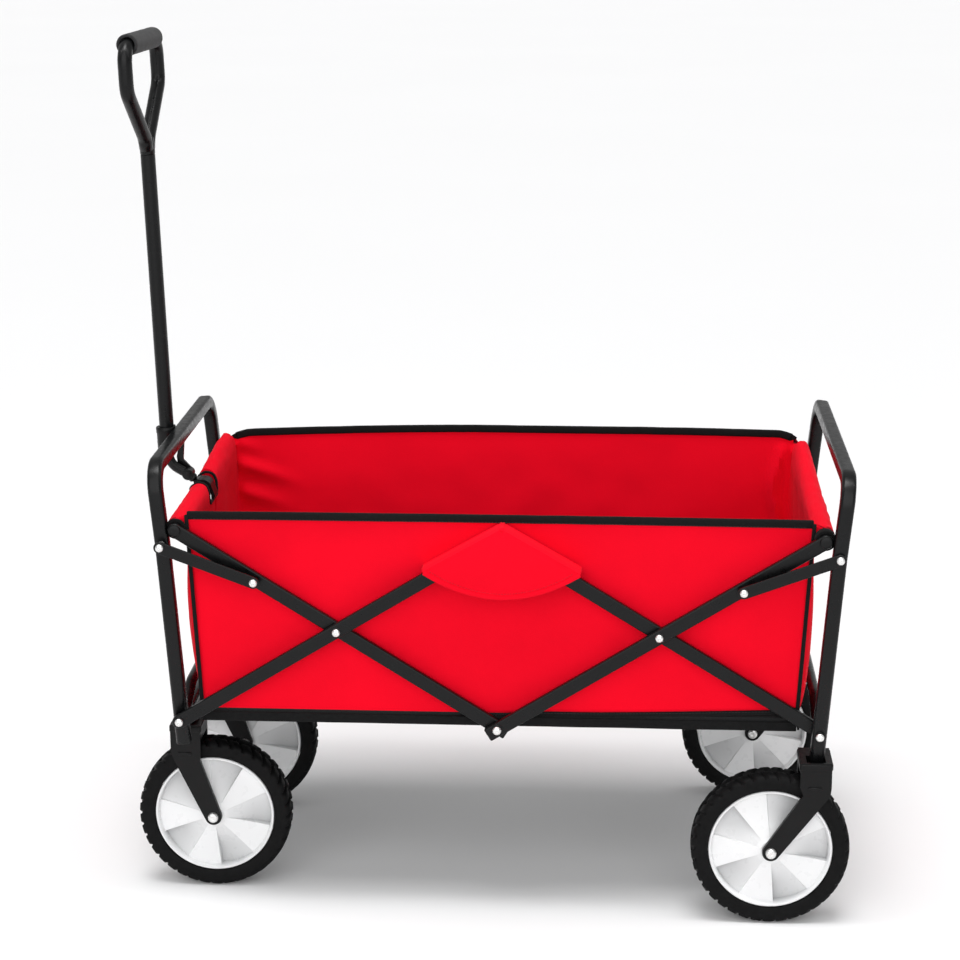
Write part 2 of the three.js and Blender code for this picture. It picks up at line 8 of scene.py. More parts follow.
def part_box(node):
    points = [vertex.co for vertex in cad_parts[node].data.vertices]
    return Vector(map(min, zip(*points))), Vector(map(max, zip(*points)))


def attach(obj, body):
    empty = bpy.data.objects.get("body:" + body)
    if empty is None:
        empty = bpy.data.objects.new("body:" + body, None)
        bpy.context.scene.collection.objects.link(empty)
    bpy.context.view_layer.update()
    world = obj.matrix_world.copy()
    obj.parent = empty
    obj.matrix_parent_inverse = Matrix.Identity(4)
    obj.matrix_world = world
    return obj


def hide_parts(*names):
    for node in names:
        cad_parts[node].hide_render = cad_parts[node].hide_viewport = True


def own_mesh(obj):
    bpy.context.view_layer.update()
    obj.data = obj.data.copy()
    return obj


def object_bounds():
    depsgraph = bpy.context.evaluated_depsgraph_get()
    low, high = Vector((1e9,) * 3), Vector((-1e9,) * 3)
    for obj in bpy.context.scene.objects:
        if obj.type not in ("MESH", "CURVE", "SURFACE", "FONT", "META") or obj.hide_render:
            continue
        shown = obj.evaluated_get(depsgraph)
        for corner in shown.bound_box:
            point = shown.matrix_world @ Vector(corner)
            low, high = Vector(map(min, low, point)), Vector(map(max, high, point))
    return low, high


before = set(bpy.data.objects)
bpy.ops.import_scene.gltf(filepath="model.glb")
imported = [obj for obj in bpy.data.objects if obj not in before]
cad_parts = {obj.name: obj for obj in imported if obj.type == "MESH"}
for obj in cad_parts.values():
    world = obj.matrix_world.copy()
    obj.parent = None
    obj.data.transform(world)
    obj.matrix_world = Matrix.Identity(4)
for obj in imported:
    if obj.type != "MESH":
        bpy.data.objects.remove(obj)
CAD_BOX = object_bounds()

# Looks of a folding wagon with a pull handle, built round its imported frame.
# Shapes are written in millimetres: x from the plane halfway between the end tubes towards the
# rear, y from the middle towards the far side, z up from the floor. place() turns a point into
# metres in the frame's own axes.
MM = 0.001
END_TUBES = [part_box("front_end_tube"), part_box("rear_end_tube")]
MIDDLE_X = sum((low.x + high.x) / 4 for low, high in END_TUBES)
SIDES = {"near": -1, "far": 1}
ENDS = {"front": -1, "rear": 1}


def place(point):
    return (MIDDLE_X + point[0] * MM, point[1] * MM, point[2] * MM)


def in_scene(name, data):
    made = bpy.data.objects.new(name, data)
    bpy.context.scene.collection.objects.link(made)
    return made


# ---- camera ----
SENSOR_WIDTH = 36
FOCAL_LENGTH = 90.3
EYE = (127.1, -2828.1, 1198.4)
DEGREES_DOWN = 14.326
DEGREES_TO_FRONT = 3.2035


def make_camera():
    data = bpy.data.cameras.new("camera")
    data.sensor_width = SENSOR_WIDTH
    data.lens = FOCAL_LENGTH
    camera = in_scene("camera", data)
    camera.location = place(EYE)
    camera.rotation_euler = (radians(90 - DEGREES_DOWN), 0, radians(DEGREES_TO_FRONT))
    bpy.context.scene.camera = camera


make_camera()

# ---- driving dimensions, in millimetres ----
# A pivot is written as (x, z) for the rear end, and the front end mirrors it.
GAP = 0.3  # between parts that would only touch
BASE_PIVOT = (370, 232.5)  # base bar on the foot of its post
CROSS_PIVOT = (185, 345)  # base bar on top bar
CENTRE_LOW = (0, 230)  # the two top bars
CENTRE_HIGH = (0, 460)  # the two base bars
END_PIVOT = (370, 461)  # top bar on its end tube
LINK_POST = (385.5, 444)  # short link on its post
LINK_FRACTION = 0.2465  # short link on its top bar, as a share of the bar from its end tube
BAR_HALF = 8.2
BAR_THICK = 8
BAR_OVERHANG = 13  # of the top bars, past the bottom centre pivot
LINK_HALF = 7
LINK_THICK = 3
BACK_LAYER = 196  # the bars lie in two layers on each side
FRONT_LAYER = 205
INNER_FACE = BACK_LAYER - BAR_THICK / 2
OUTER_FACE = FRONT_LAYER + BAR_THICK / 2
POST_Y = {"front": 191.5, "rear": 209.5}
LINK_Y = {"front": 211.5, "rear": 221}
POST_FOOT_Z = {"front": 202, "rear": 189.5}
HOOP_TOP = (394, 531)
TUBE_HALF = 8.5  # of the square tube of posts and hoops
WHEELS = {"front": (-343, 126), "rear": (318, 198)}  # x of the axle, y of the wheel's middle
PANEL_Y = 187.5  # side walls of the basket
FOOT_X = 347  # end walls of the basket at their foot
FOOT_TOP_Z = 248
WRAP_R = 11.4  # of the cloth where it turns over an end tube


# ---- materials ----
NOISE_LOW, NOISE_HIGH = 0.3, 0.7  # nearly all of a noise texture lies between these


class Finish:
    """A material with its shader, whose constant values sit on the shader's own sockets."""

    def __init__(self, name, colour, roughness, metallic=0.0, specular=0.5):
        self.material = bpy.data.materials.new(name)
        self.material.use_nodes = True
        self.tree = self.material.node_tree
        self.shader = self.tree.nodes["Principled BSDF"]
        self.colour = colour
        self.set("Base Color", (*colour, 1))
        self.set("Roughness", roughness)
        self.set("Metallic", metallic)
        self.set("Specular IOR Level", specular)
        self.height = None
        coordinates = self.tree.nodes.new("ShaderNodeTexCoord")
        self.metres = coordinates.outputs["Object"]
        self.cloth = coordinates.outputs["UV"]

    def set(self, socket, value):
        self.shader.inputs[socket].default_value = value

    def node(self, kind, inputs=(), **settings):
        made = self.tree.nodes.new(kind)
        for key, value in settings.items():
            setattr(made, key, value)
        for socket, value in dict(inputs).items():
            made.inputs[socket].default_value = value
        return made

    def link(self, source, target):
        self.tree.links.new(source, target)

    def math(self, operation, a, b):
        made = self.node("ShaderNodeMath", operation=operation)
        for socket, value in zip(made.inputs, (a, b)):
            if isinstance(value, (int, float)):
                socket.default_value = value
            else:
                self.link(value, socket)
        return made.outputs[0]

    def noise(self, scale, detail=3.0, source=None):
        made = self.node("ShaderNodeTexNoise", {"Scale": scale, "Detail": detail})
        self.link(source or self.metres, made.inputs["Vector"])
        return made.outputs["Fac"]

    def blotch(self, factor, spread, tint=(1, 1, 1)):
        """The colour is darker where factor is low and lighter, towards tint, where it is high."""
        dark = [c * (1 - spread) for c in self.colour]
        light = [min(1, c * (1 + spread * t)) for c, t in zip(self.colour, tint)]
        self.ramp(factor, (NOISE_LOW, dark), (NOISE_HIGH, light))

    def ramp(self, factor, *stops):
        """The colour runs from the first stop's to the second one's as factor rises."""
        made = self.node("ShaderNodeValToRGB")
        for element, (position, colour) in zip(made.color_ramp.elements, stops):
            element.position = position
            element.color = (*colour, 1)
        self.link(factor, made.inputs["Fac"])
        self.link(made.outputs["Color"], self.shader.inputs["Base Color"])

    def rough(self, factor, low, high):
        made = self.node("ShaderNodeMapRange", {"From Min": NOISE_LOW, "From Max": NOISE_HIGH,
                                                "To Min": low, "To Max": high})
        self.link(factor, made.inputs["Value"])
        self.link(made.outputs["Result"], self.shader.inputs["Roughness"])

    def bump(self, height, strength, distance):
        made = self.node("ShaderNodeBump", {"Strength": strength, "Distance": distance})
        self.link(height, made.inputs["Height"])
        if self.height:
            self.link(self.height, made.inputs["Normal"])
        self.height = made.outputs["Normal"]
        self.link(self.height, self.shader.inputs["Normal"])

    def weave(self, pitch, strength, distance):
        """Over-and-under threads, this many metres apart, in the cloth's own flat coordinates."""
        split = self.node("ShaderNodeSeparateXYZ")
        self.link(self.cloth, split.inputs[0])
        turns = []
        for axis in (0, 1):
            turns.append(self.math("SINE", self.math("MULTIPLY", split.outputs[axis], pi / pitch), 0.0))
        crossing = self.math("MULTIPLY", *turns)
        self.bump(self.math("ADD", self.math("MULTIPLY", crossing, 0.5), 0.5), strength, distance)


def powder_coat():
    made = Finish("black_powder_coat", (0.0022, 0.0024, 0.0027), 0.29, specular=0.24)
    made.blotch(made.noise(35), 0.18)
    made.rough(made.noise(120, 4), 0.24, 0.37)
    made.bump(made.noise(350, 2), 0.012, 0.0002)
    return made.material


def moulding(name, colour, roughness):
    made = Finish(name, colour, roughness, specular=0.2)
    made.blotch(made.noise(60), 0.15)
    made.rough(made.noise(200, 4), roughness - 0.07, roughness + 0.07)
    made.bump(made.noise(900, 3), 0.18, 0.0003)
    return made.material


def bright_zinc():
    made = Finish("bright_zinc", (0.78, 0.78, 0.77), 0.28, metallic=0.85)
    made.blotch(made.noise(400), 0.1)
    made.rough(made.noise(900, 4), 0.2, 0.42)
    made.bump(made.noise(1500, 2), 0.08, 0.0001)
    return made.material


def red_cloth(name, colour, depth=1.0):
    made = Finish(name, colour, 0.78, specular=0.06)
    made.set("Sheen Weight", 0.12)
    made.set("Sheen Roughness", 0.6)
    made.set("Sheen Tint", (1.0, 0.12, 0.18, 1))
    broad = made.math("MULTIPLY", made.noise(9, 2), 0.6)
    fine = made.math("MULTIPLY", made.noise(900, 2, made.cloth), 0.4)
    made.blotch(made.math("ADD", broad, fine), 0.07 * depth, (1, 1.6, 1.6))
    made.rough(made.noise(500, 3, made.cloth), 0.7, 0.86)
    made.bump(made.noise(45, 4), 0.2, 0.0012)
    made.weave(0.0011, 0.35, 0.00016)
    return made.material


def black_cloth(name, colour, pitch):
    made = Finish(name, colour, 0.75, specular=0.15)
    made.set("Sheen Weight", 0.03)
    made.blotch(made.noise(700, 3, made.cloth), 0.3)
    made.rough(made.noise(300, 3), 0.74, 0.9)
    made.bump(made.noise(60, 3), 0.15, 0.001)
    made.weave(pitch, 0.45, 0.0002)
    return made.material


def tyre_rubber():
    made = Finish("tyre_rubber", (0.003, 0.003, 0.0032), 0.55, specular=0.12)
    made.blotch(made.noise(55, 4), 0.22)
    made.rough(made.noise(180, 4), 0.52, 0.72)
    made.bump(made.noise(1100, 3), 0.2, 0.0003)
    return made.material


def rim_plastic():
    """White plastic with painted shade: greyer where the mesh's shade attribute says that a pocket is
    deep.
    """
    # The grey is painted shade for the rim's sunk pockets, not a colour of the plastic.
    white, painted_shade_grey = (0.79, 0.795, 0.8), (0.35, 0.355, 0.36)
    made = Finish("rim_plastic", white, 0.3, specular=0.4)
    painted_shade = made.node("ShaderNodeAttribute", attribute_name="painted_shade")
    mottle = made.math("MULTIPLY", made.noise(40), 0.05)
    made.ramp(made.math("SUBTRACT", painted_shade.outputs["Fac"], mottle), (0, painted_shade_grey), (1, white))
    made.rough(made.noise(90, 4), 0.24, 0.38)
    made.bump(made.noise(500, 2), 0.05, 0.0002)
    return made.material


def grip_foam():
    made = Finish("grip_foam", (0.022, 0.022, 0.023), 0.85, specular=0.2)
    made.set("Sheen Weight", 0.1)
    made.set("Sheen Roughness", 0.5)
    cells = made.node("ShaderNodeTexVoronoi", {"Scale": 1100})
    made.link(made.metres, cells.inputs["Vector"])
    made.blotch(made.noise(250, 4), 0.25)
    made.rough(made.noise(300, 3), 0.8, 0.95)
    made.bump(cells.outputs["Distance"], 0.3, 0.0003)
    return made.material


def floor_paint():
    made = Finish("floor_paint", (0.86, 0.86, 0.865), 0.9, specular=0.1)
    made.blotch(made.noise(0.7, 2), 0.004)
    made.bump(made.noise(60, 3), 0.02, 0.0005)
    return made.material


STEEL = powder_coat()
PLASTIC = moulding("black_moulding", (0.0028, 0.0028, 0.003), 0.38)
SADDLE_GREY = moulding("saddle_moulding", (0.005, 0.0052, 0.0055), 0.36)
ZINC = bright_zinc()
RED = red_cloth("red_cloth", (0.8, 0.0006, 0.0135))
# The roll's cloth is the walls' red made a little darker: painted shade over the roll's lit top.
ROLL_RED_PAINTED_SHADE = red_cloth("red_cloth_roll_painted_shade", (0.77, 0.0006, 0.013), 1.4)
TAPE = black_cloth("black_tape", (0.0045, 0.0045, 0.0047), 0.0008)
FELT = black_cloth("black_mat", (0.013, 0.013, 0.0135), 0.0016)
RED_THREAD = moulding("red_thread", (0.62, 0.004, 0.02), 0.7)
BLACK_THREAD = moulding("black_thread", (0.02, 0.02, 0.021), 0.7)
RUBBER = tyre_rubber()
WHITE = rim_plastic()
FOAM = grip_foam()


# ---- mesh building ----
SHARP = 35  # degrees at which an edge counts as one


class Mesh:
    """Points in millimetres with faces, and the flat coordinates or painted shade of each point if wanted.
    """

    def __init__(self, *parts):
        self.points, self.faces, self.flat, self.painted_shades = [], [], [], []
        for points, faces in parts:
            self.add(points, faces)

    def add(self, points, faces, flat=(), at=(0, 0, 0)):
        base = len(self.points)
        self.points += [(at[0] + x, at[1] + y, at[2] + z) for x, y, z in points]
        self.faces += [tuple(base + i for i in face) for face in faces]
        self.flat += list(flat)
        return self


def piece(name, mesh, body, material, replaces=(), crease=SHARP, closed=True):
    """An object from a Mesh, riding on a body."""
    data = bpy.data.meshes.new(name)
    data.from_pydata([place(p) for p in mesh.points], [], mesh.faces)
    if closed:
        work = bmesh.new()
        work.from_mesh(data)
        bmesh.ops.recalc_face_normals(work, faces=work.faces)
        work.to_mesh(data)
        work.free()
    if mesh.flat:
        layer = data.uv_layers.new(name="flat")
        for loop in data.loops:
            u, v = mesh.flat[loop.vertex_index]
            layer.data[loop.index].uv = (u * MM, v * MM)
    # A point's painted shade, which a material turns into darker colour.
    if mesh.painted_shades:
        layer = data.attributes.new("painted_shade", "FLOAT", "POINT")
        layer.data.foreach_set("value", mesh.painted_shades)
    data.shade_smooth()
    data.set_sharp_from_angle(angle=radians(crease))
    data.materials.append(material)
    made = in_scene(name, data)
    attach(made, body)
    if replaces:
        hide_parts(*replaces)
    return made


def bevelled(made, width, segments=3):
    edges = made.modifiers.new("edges", "BEVEL")
    edges.width = width * MM
    edges.segments = segments
    edges.limit_method = "ANGLE"
    edges.angle_limit = radians(SHARP)
    edges.harden_normals = True
    return made


def thickened(made, thickness):
    cloth = made.modifiers.new("thickness", "SOLIDIFY")
    cloth.thickness = thickness * MM
    cloth.offset = 0
    return made


def carried(node, material, bevel=0.0, crease=SHARP):
    """A CAD node that is shown as it is, with a finish and rounded edges."""
    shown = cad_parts[node]
    shown.data.materials.clear()
    shown.data.materials.append(material)
    shown.data.shade_smooth()
    shown.data.set_sharp_from_angle(angle=radians(crease))
    if bevel:
        bevelled(shown, bevel)


def spread(low, high, count):
    """Evenly spaced values from low to high, with this many steps."""
    return [low + (high - low) * k / count for k in range(count + 1)]


def smooth_step(value):
    value = min(1.0, max(0.0, value))
    return value * value * (3 - 2 * value)


def mirrored(point, sign):
    return (point[0] * sign, point[1])


def both_halves(half):
    """A path on the near side goes on through its mirror image on the far side."""
    return half + [(x, -y, z) for x, y, z in reversed(half)]


def whole_profile(half):
    """A profile of (radius, distance) pairs goes on through its mirror image."""
    return half + [(radius, -along) for radius, along in reversed(half)]


def facing(profile, side):
    return [(radius, side * along) for radius, along in profile]


def quads(rows, across, ring=False, loop=False, turned_over=False):
    """The faces of a grid of points. A ring closes across its rows, a loop from last row to first."""
    faces = []
    for i in range(rows if loop else rows - 1):
        low, high = i * across, (i + 1) % rows * across
        for k in range(across if ring else across - 1):
            after = (k + 1) % across
            face = (low + k, low + after, high + after, high + k)
            faces.append((face[0], face[3], face[2], face[1]) if turned_over else face)
    return faces


def fillet(corners, radius, step=4.0):
    """A path through the corners with each one rounded."""
    corners = [Vector(c) for c in corners]
    path = [corners[0]]
    for before, corner, after in zip(corners, corners[1:], corners[2:]):
        a, b = (before - corner).normalized(), (after - corner).normalized()
        turn = pi - a.angle(b)
        if turn < 0.02:
            path.append(corner)
            continue
        room = min((before - corner).length, (after - corner).length) * 0.5
        reach = min(radius * tan(turn / 2), room)
        bend = reach / tan(turn / 2)
        start, end = corner + a * reach, corner + b * reach
        centre = corner + (a + b).normalized() * (bend / cos(turn / 2))
        axis = (start - centre).cross(end - centre).normalized()
        count = max(3, ceil(bend * turn / step))
        for k in range(count + 1):
            path.append(centre + Matrix.Rotation(turn * k / count, 3, axis) @ (start - centre))
    path.append(corners[-1])
    return path


def circle(radius, count=24):
    return [(radius * cos(2 * pi * k / count), radius * sin(2 * pi * k / count))
            for k in range(count)]


def rounded_box(half_u, half_v, radius, count=5):
    section = []
    for quarter, (u, v) in enumerate([(1, 1), (-1, 1), (-1, -1), (1, -1)]):
        for k in range(count + 1):
            angle = pi / 2 * (quarter + k / count)
            section.append((u * (half_u - radius) + radius * cos(angle),
                            v * (half_v - radius) + radius * sin(angle)))
    return section


def sweep(path, section, side, chamfer=0.8, loop=False):
    """A section carried along a path. side is the section's first axis where the path starts."""
    path = [Vector(p) for p in path]
    scales = [1.0] * len(path)
    if not loop:
        lead, tail = (path[1] - path[0]).normalized(), (path[-1] - path[-2]).normalized()
        path = [path[0], path[0] + lead * chamfer, *path[1:-1], path[-1] - tail * chamfer, path[-1]]
        trimmed = max(0.3, 1 - chamfer / max(hypot(*p) for p in section))
        scales = [trimmed, 1, *scales[1:-1], 1, trimmed]
    before = [path[-1] if loop else path[0], *path[:-1]]
    after = [*path[1:], path[0] if loop else path[-1]]
    tangents = [(b - a).normalized() for a, b in zip(before, after)]
    u = Vector(side)
    u = (u - tangents[0] * u.dot(tangents[0])).normalized()
    points = []
    for i, (p, tangent) in enumerate(zip(path, tangents)):
        if i:
            u = tangents[i - 1].rotation_difference(tangent) @ u
        w = tangent.cross(u)
        points += [p + u * (a * scales[i]) + w * (b * scales[i]) for a, b in section]
    around = len(section)
    faces = quads(len(path), around, ring=True, loop=loop)
    if not loop:
        faces.append(tuple(range(around))[::-1])
        faces.append(tuple(range(len(points) - around, len(points))))
    return points, faces


def turned(profile, centre=(0, 0), segments=40, axis="Y", shaped=None):
    """A profile of (radius, distance) pairs turned about an axis through centre.

    The profile starts and ends on the axis, or closes on itself if it doesn't touch the axis.
    shaped(angle, radius, distance) may move a point.
    """
    rings = []
    points = []
    for radius, along in profile:
        ring = []
        for k in range(1 if radius == 0 else segments):
            angle = 2 * pi * k / segments
            r, h = shaped(angle, radius, along) if shaped else (radius, along)
            u, v = centre[0] + r * cos(angle), centre[1] + r * sin(angle)
            ring.append(len(points))
            points.append((u, h, v) if axis == "Y" else (u, v, h))
        rings.append(ring)
    pairs = list(zip(rings, rings[1:]))
    if profile[0][0] > 0:
        pairs.append((rings[-1], rings[0]))
    faces = []
    for low, high in pairs:
        for k in range(segments):
            after = (k + 1) % segments
            face = [low[k % len(low)], low[after % len(low)], high[after % len(high)], high[k % len(high)]]
            face = tuple(dict.fromkeys(face))
            if len(face) > 2:
                faces.append(face)
    return points, faces


def rod(radius, low, high):
    return [(0, low), (radius, low), (radius, high), (0, high)]


def prism(outline, low, high):
    """An outline of (x, z) pairs between two distances along Y."""
    count = len(outline)
    points = [(x, y, z) for y in (low, high) for x, z in outline]
    faces = [tuple(range(count))[::-1], tuple(range(count, 2 * count))]
    return points, faces + quads(2, count, ring=True)


def half_circle(centre, radius, start, steps=12):
    return [(centre[0] + radius * cos(start + pi * k / steps),
             centre[1] + radius * sin(start + pi * k / steps)) for k in range(steps + 1)]


def strip(a, b, half, overhang=0.0):
    """The outline of a flat bar between two pivots: round about b, and round about a or, with an
    overhang, cut square past it."""
    along = atan2(b[1] - a[1], b[0] - a[0])
    end = half_circle(b, half, along - pi / 2)
    if not overhang:
        return half_circle(a, half, along + pi / 2) + end
    back = along + pi
    cut = []
    for sign in (1, -1):
        across = along + sign * pi / 2
        cut.append((a[0] + overhang * cos(back) + half * cos(across),
                    a[1] + overhang * sin(back) + half * sin(across)))
    return cut + end


# ---- scissor bars and links ----
def link_pivot(sign):
    end = mirrored(END_PIVOT, sign)
    return tuple(e + (c - e) * LINK_FRACTION for e, c in zip(end, CENTRE_LOW))


def flat_bar(name, outline, y, thickness, body, rounding):
    mesh = Mesh(prism(outline, y - thickness / 2, y + thickness / 2))
    made = piece(name + "_bar_look", mesh, body, STEEL, [name])
    bevelled(made, rounding, 4)


for side, y in SIDES.items():
    for end, sign in ENDS.items():
        rising, falling = (FRONT_LAYER, BACK_LAYER) if sign < 0 else (BACK_LAYER, FRONT_LAYER)
        base = strip(CENTRE_HIGH, mirrored(BASE_PIVOT, sign), BAR_HALF)
        top = strip(CENTRE_LOW, mirrored(END_PIVOT, sign), BAR_HALF, BAR_OVERHANG)
        link = strip(mirrored(LINK_POST, sign), link_pivot(sign), LINK_HALF)
        flat_bar(f"{end}_base_bar_{side}", base, y * rising, BAR_THICK, f"{end}_base_bars", 1.9)
        flat_bar(f"{end}_top_bar_{side}", top, y * falling, BAR_THICK, f"{end}_top_bars", 1.9)
        flat_bar(f"{end}_link_{side}", link, y * LINK_Y[end], LINK_THICK, f"{end}_links", 0.9)

# ---- rivets ----
HEAD_R = 4.7
SHANK_R = 3
WASHER_R = 6.6
# A domed head with a dimple, as shares of its radius: how far out, and how high.
DOME = ((0, 0.42), (0.16, 0.42), (0.24, 0.5), (0.55, 0.46), (0.82, 0.34), (0.97, 0.14), (1, 0))


def head(radius, face, side):
    """A rivet's head that stands on a face at this distance along Y."""
    return [(radius * share, face + side * radius * rise) for share, rise in DOME] + [(0, face)]


def washer(radius, face, side, thick=0.5):
    top = face + side * thick
    return [(0, top), (radius - 0.4, top), (radius, face + side * thick * 0.5), (radius, face), (0, face)]


def rivet(name, at, inner, outer, side, body, replaces=()):
    """A rivet through the layers between inner and outer, with bright heads and a dark washer."""
    mesh = Mesh(turned(head(HEAD_R, side * (outer + 0.8), side), at),
                turned(rod(SHANK_R, side * inner, side * (outer + 0.2)), at, 20),
                turned(head(HEAD_R, side * (inner - 0.2), -side), at))
    piece(name, mesh, body, ZINC, replaces)
    ring = Mesh(turned(washer(WASHER_R, side * (outer + GAP), side), at))
    piece(name + "_washer", ring, body, STEEL)


for side, y in SIDES.items():
    bar_rivets = (("front_cross", mirrored(CROSS_PIVOT, -1), "front_base_bars"),
                  ("rear_cross", CROSS_PIVOT, "rear_top_bars"),
                  ("top_centre", CENTRE_HIGH, "front_base_bars"))
    for name, at, body in bar_rivets:
        rivet(f"{name}_pivot_{side}", at, INNER_FACE, OUTER_FACE, y, body, [f"{name}_rivet_{side}"])
    for end, sign in ENDS.items():
        top_bar = BACK_LAYER if sign < 0 else FRONT_LAYER
        bar_face = top_bar + BAR_THICK / 2 + 0.2
        link_face = LINK_Y[end] + LINK_THICK / 2
        post_face = POST_Y[end] + TUBE_HALF
        rivet(f"{end}_link_pivot_{side}", link_pivot(sign), bar_face, link_face, y, f"{end}_links")
        post_at = mirrored(LINK_POST, sign)
        rivet(f"{end}_post_pivot_{side}", post_at, post_face, link_face, y, f"{end}_frame")


# ---- tubes across the wagon ----
CROSS_TUBE_R = 6.5
CROSS_TUBE_RISE = 21  # the tubes between the posts' feet step up towards their middle


def cross_tube(end, sign):
    """The tube between the feet of an end's posts, with a shank, washer and bright head at each end."""
    x, z = mirrored(BASE_PIVOT, sign)
    inner = (POST_Y[end] - TUBE_HALF if sign < 0 else INNER_FACE) - GAP
    outer = OUTER_FACE if sign < 0 else POST_Y[end] + TUBE_HALF
    half = [(x, -inner, z), (x, -inner + 22, z), (x, -inner + 60, z + CROSS_TUBE_RISE)]
    mesh = Mesh(sweep(fillet(both_halves(half), 30), circle(CROSS_TUBE_R), (1, 0, 0)))
    heads = Mesh()
    for y in SIDES.values():
        mesh.add(*turned(rod(SHANK_R, y * inner, y * (outer + 1)), (x, z), 20))
        mesh.add(*turned(washer(WASHER_R, y * (outer + GAP), y, 0.8), (x, z)))
        heads.add(*turned(head(HEAD_R + 0.2, y * (outer + 1.1), y), (x, z)))
    piece(f"{end}_cross_tube_look", mesh, f"{end}_frame", STEEL, [f"{end}_cross_tube"])
    piece(f"{end}_base_heads", heads, f"{end}_frame", ZINC)


def bottom_centre_tube():
    """The tube between the bottom centre pivots of the two sides."""
    half = [(0, -OUTER_FACE - 1), (SHANK_R, -OUTER_FACE - 1), (SHANK_R, -INNER_FACE),
            (CROSS_TUBE_R, -INNER_FACE + GAP)]
    mesh = Mesh(turned(whole_profile(half), CENTRE_LOW))
    heads = Mesh()
    for y in SIDES.values():
        mesh.add(*turned(washer(7.4, y * (OUTER_FACE + GAP), y, 0.8), CENTRE_LOW))
        heads.add(*turned(head(HEAD_R + 0.4, y * (OUTER_FACE + 1.1), y), CENTRE_LOW))
    piece("bottom_centre_tube_look", mesh, "front_top_bars", STEEL, ["bottom_centre_tube"])
    piece("bottom_centre_heads", heads, "front_top_bars", ZINC)


def end_tube(end, sign):
    """The tube inside an end's roll, with a cap outside each top bar and a collar inside it."""
    centre = mirrored(END_PIVOT, sign)
    inner = INNER_FACE if sign < 0 else FRONT_LAYER - BAR_THICK / 2
    outer = BACK_LAYER + BAR_THICK / 2 if sign < 0 else OUTER_FACE
    half = [(0, -inner + GAP), (7.6, -inner + GAP), (8, -inner + 1)]
    mesh = Mesh(turned(whole_profile(half), centre, 32))
    cap = [(0, outer + 2.7), (5.6, outer + 2.6), (6.6, outer + 2.2), (7, outer + 1.4), (7, outer + GAP),
           (0, outer + GAP)]
    low, high = PANEL_Y + 1.3, inner - 0.5
    collar = [(8.3, low), (11, low), (12, low + 0.8), (12.2, high - 1.2), (11.4, high), (8.3, high)]
    collars = Mesh()
    for y in SIDES.values():
        mesh.add(*turned(facing(cap, y), centre, 32))
        collars.add(*turned(facing(collar, y), centre, 36))
    piece(f"{end}_end_tube_look", mesh, f"{end}_top_bars", STEEL, [f"{end}_end_tube"])
    piece(f"{end}_roll_collars", collars, f"{end}_top_bars", TAPE)


for end, sign in ENDS.items():
    cross_tube(end, sign)
bottom_centre_tube()

# ---- end frames ----
POST_LEAN = (LINK_POST[0] - BASE_PIVOT[0]) / (LINK_POST[1] - BASE_PIVOT[1])
for end, sign in ENDS.items():
    foot = POST_FOOT_Z[end]
    foot_x = LINK_POST[0] + (foot - LINK_POST[1]) * POST_LEAN
    y = POST_Y[end]
    half = [(sign * x, -y, z) for x, z in ((foot_x, foot), LINK_POST, HOOP_TOP)]
    square = rounded_box(TUBE_HALF - 0.2, TUBE_HALF - 0.2, 4.2)
    mesh = Mesh(sweep(fillet(both_halves(half), 30, 2.5), square, (1, 0, 0)))
    piece(f"{end}_hoop_look", mesh, f"{end}_frame", STEEL, [f"{end}_hoop"], crease=50)

for end, sign in ENDS.items():
    end_tube(end, sign)

# ---- wheels ----
SECTORS = 10
RIM_STEPS = 9  # angular steps in a sector of the rim
SECTOR_GAP = 0.012  # share of a sector between its last step and the next sector
FIRST_SECTOR = radians(23)
POCKET_DEPTH = 8.2
# How much darker a rim's sunk pockets are painted: painted shade in the recesses.
POCKET_PAINTED_SHADE = 0.62
DISH_R = (14, 67.5)  # the pockets lie between these radii
# Radius and distance from the wheel's middle plane: hub, dish, and lip against the tyre.
HUB = [(6, 19.6), (11.6, 19.6), (12.6, 19.0)]
DISH = [(14, 18), (18, 17), (26, 15.2), (36, 13.4), (46, 11.8), (55, 10.4), (63, 9.6), (67, 9.3)]
LIP = [(68, 12.6), (68.6, 14.8), (69.4, 15.7), (70.8, 15.5), (71.6, 14.6)]
RIM_RINGS = HUB + DISH + LIP
TYRE_R = 92
TREAD_R = 86  # the lugs start here
TYRE_HALF = [(72.2, -14.6), (72.8, -16.4), (74.2, -17.2), (76.6, -17.7), (80, -17.9), (84.5, -17.9),
             (86.6, -17.6), (88.2, -17.0), (89.6, -15.9), (90.7, -14.2), (91.4, -12), (91.8, -9),
             (TYRE_R, -6), (TYRE_R, -3.6), (TYRE_R, -2.6)]
LUGS = 38
LUG_DEPTH = 2.6
AXLE_FACE = 26 + GAP  # outer face of a fork's arm, from the wheel's middle


def rim_columns():
    """Where each column of a rim lies: its sector, its share of the way across, and its angle."""
    columns = []
    for sector in range(SECTORS):
        for k in range(RIM_STEPS + 1):
            share = SECTOR_GAP + (1 - 2 * SECTOR_GAP) * k / RIM_STEPS
            columns.append((sector, share, FIRST_SECTOR + (sector + share) * 2 * pi / SECTORS))
    return columns


def pocket(sector, share, radius):
    """Every other sector is sunk: it steps down sharply and slopes back up."""
    if sector % 2 == 0 or not DISH_R[0] < radius < DISH_R[1]:
        return 0.0
    return smooth_step((radius - DISH_R[0]) / 40) * (1 - 0.8 * share ** 1.3)


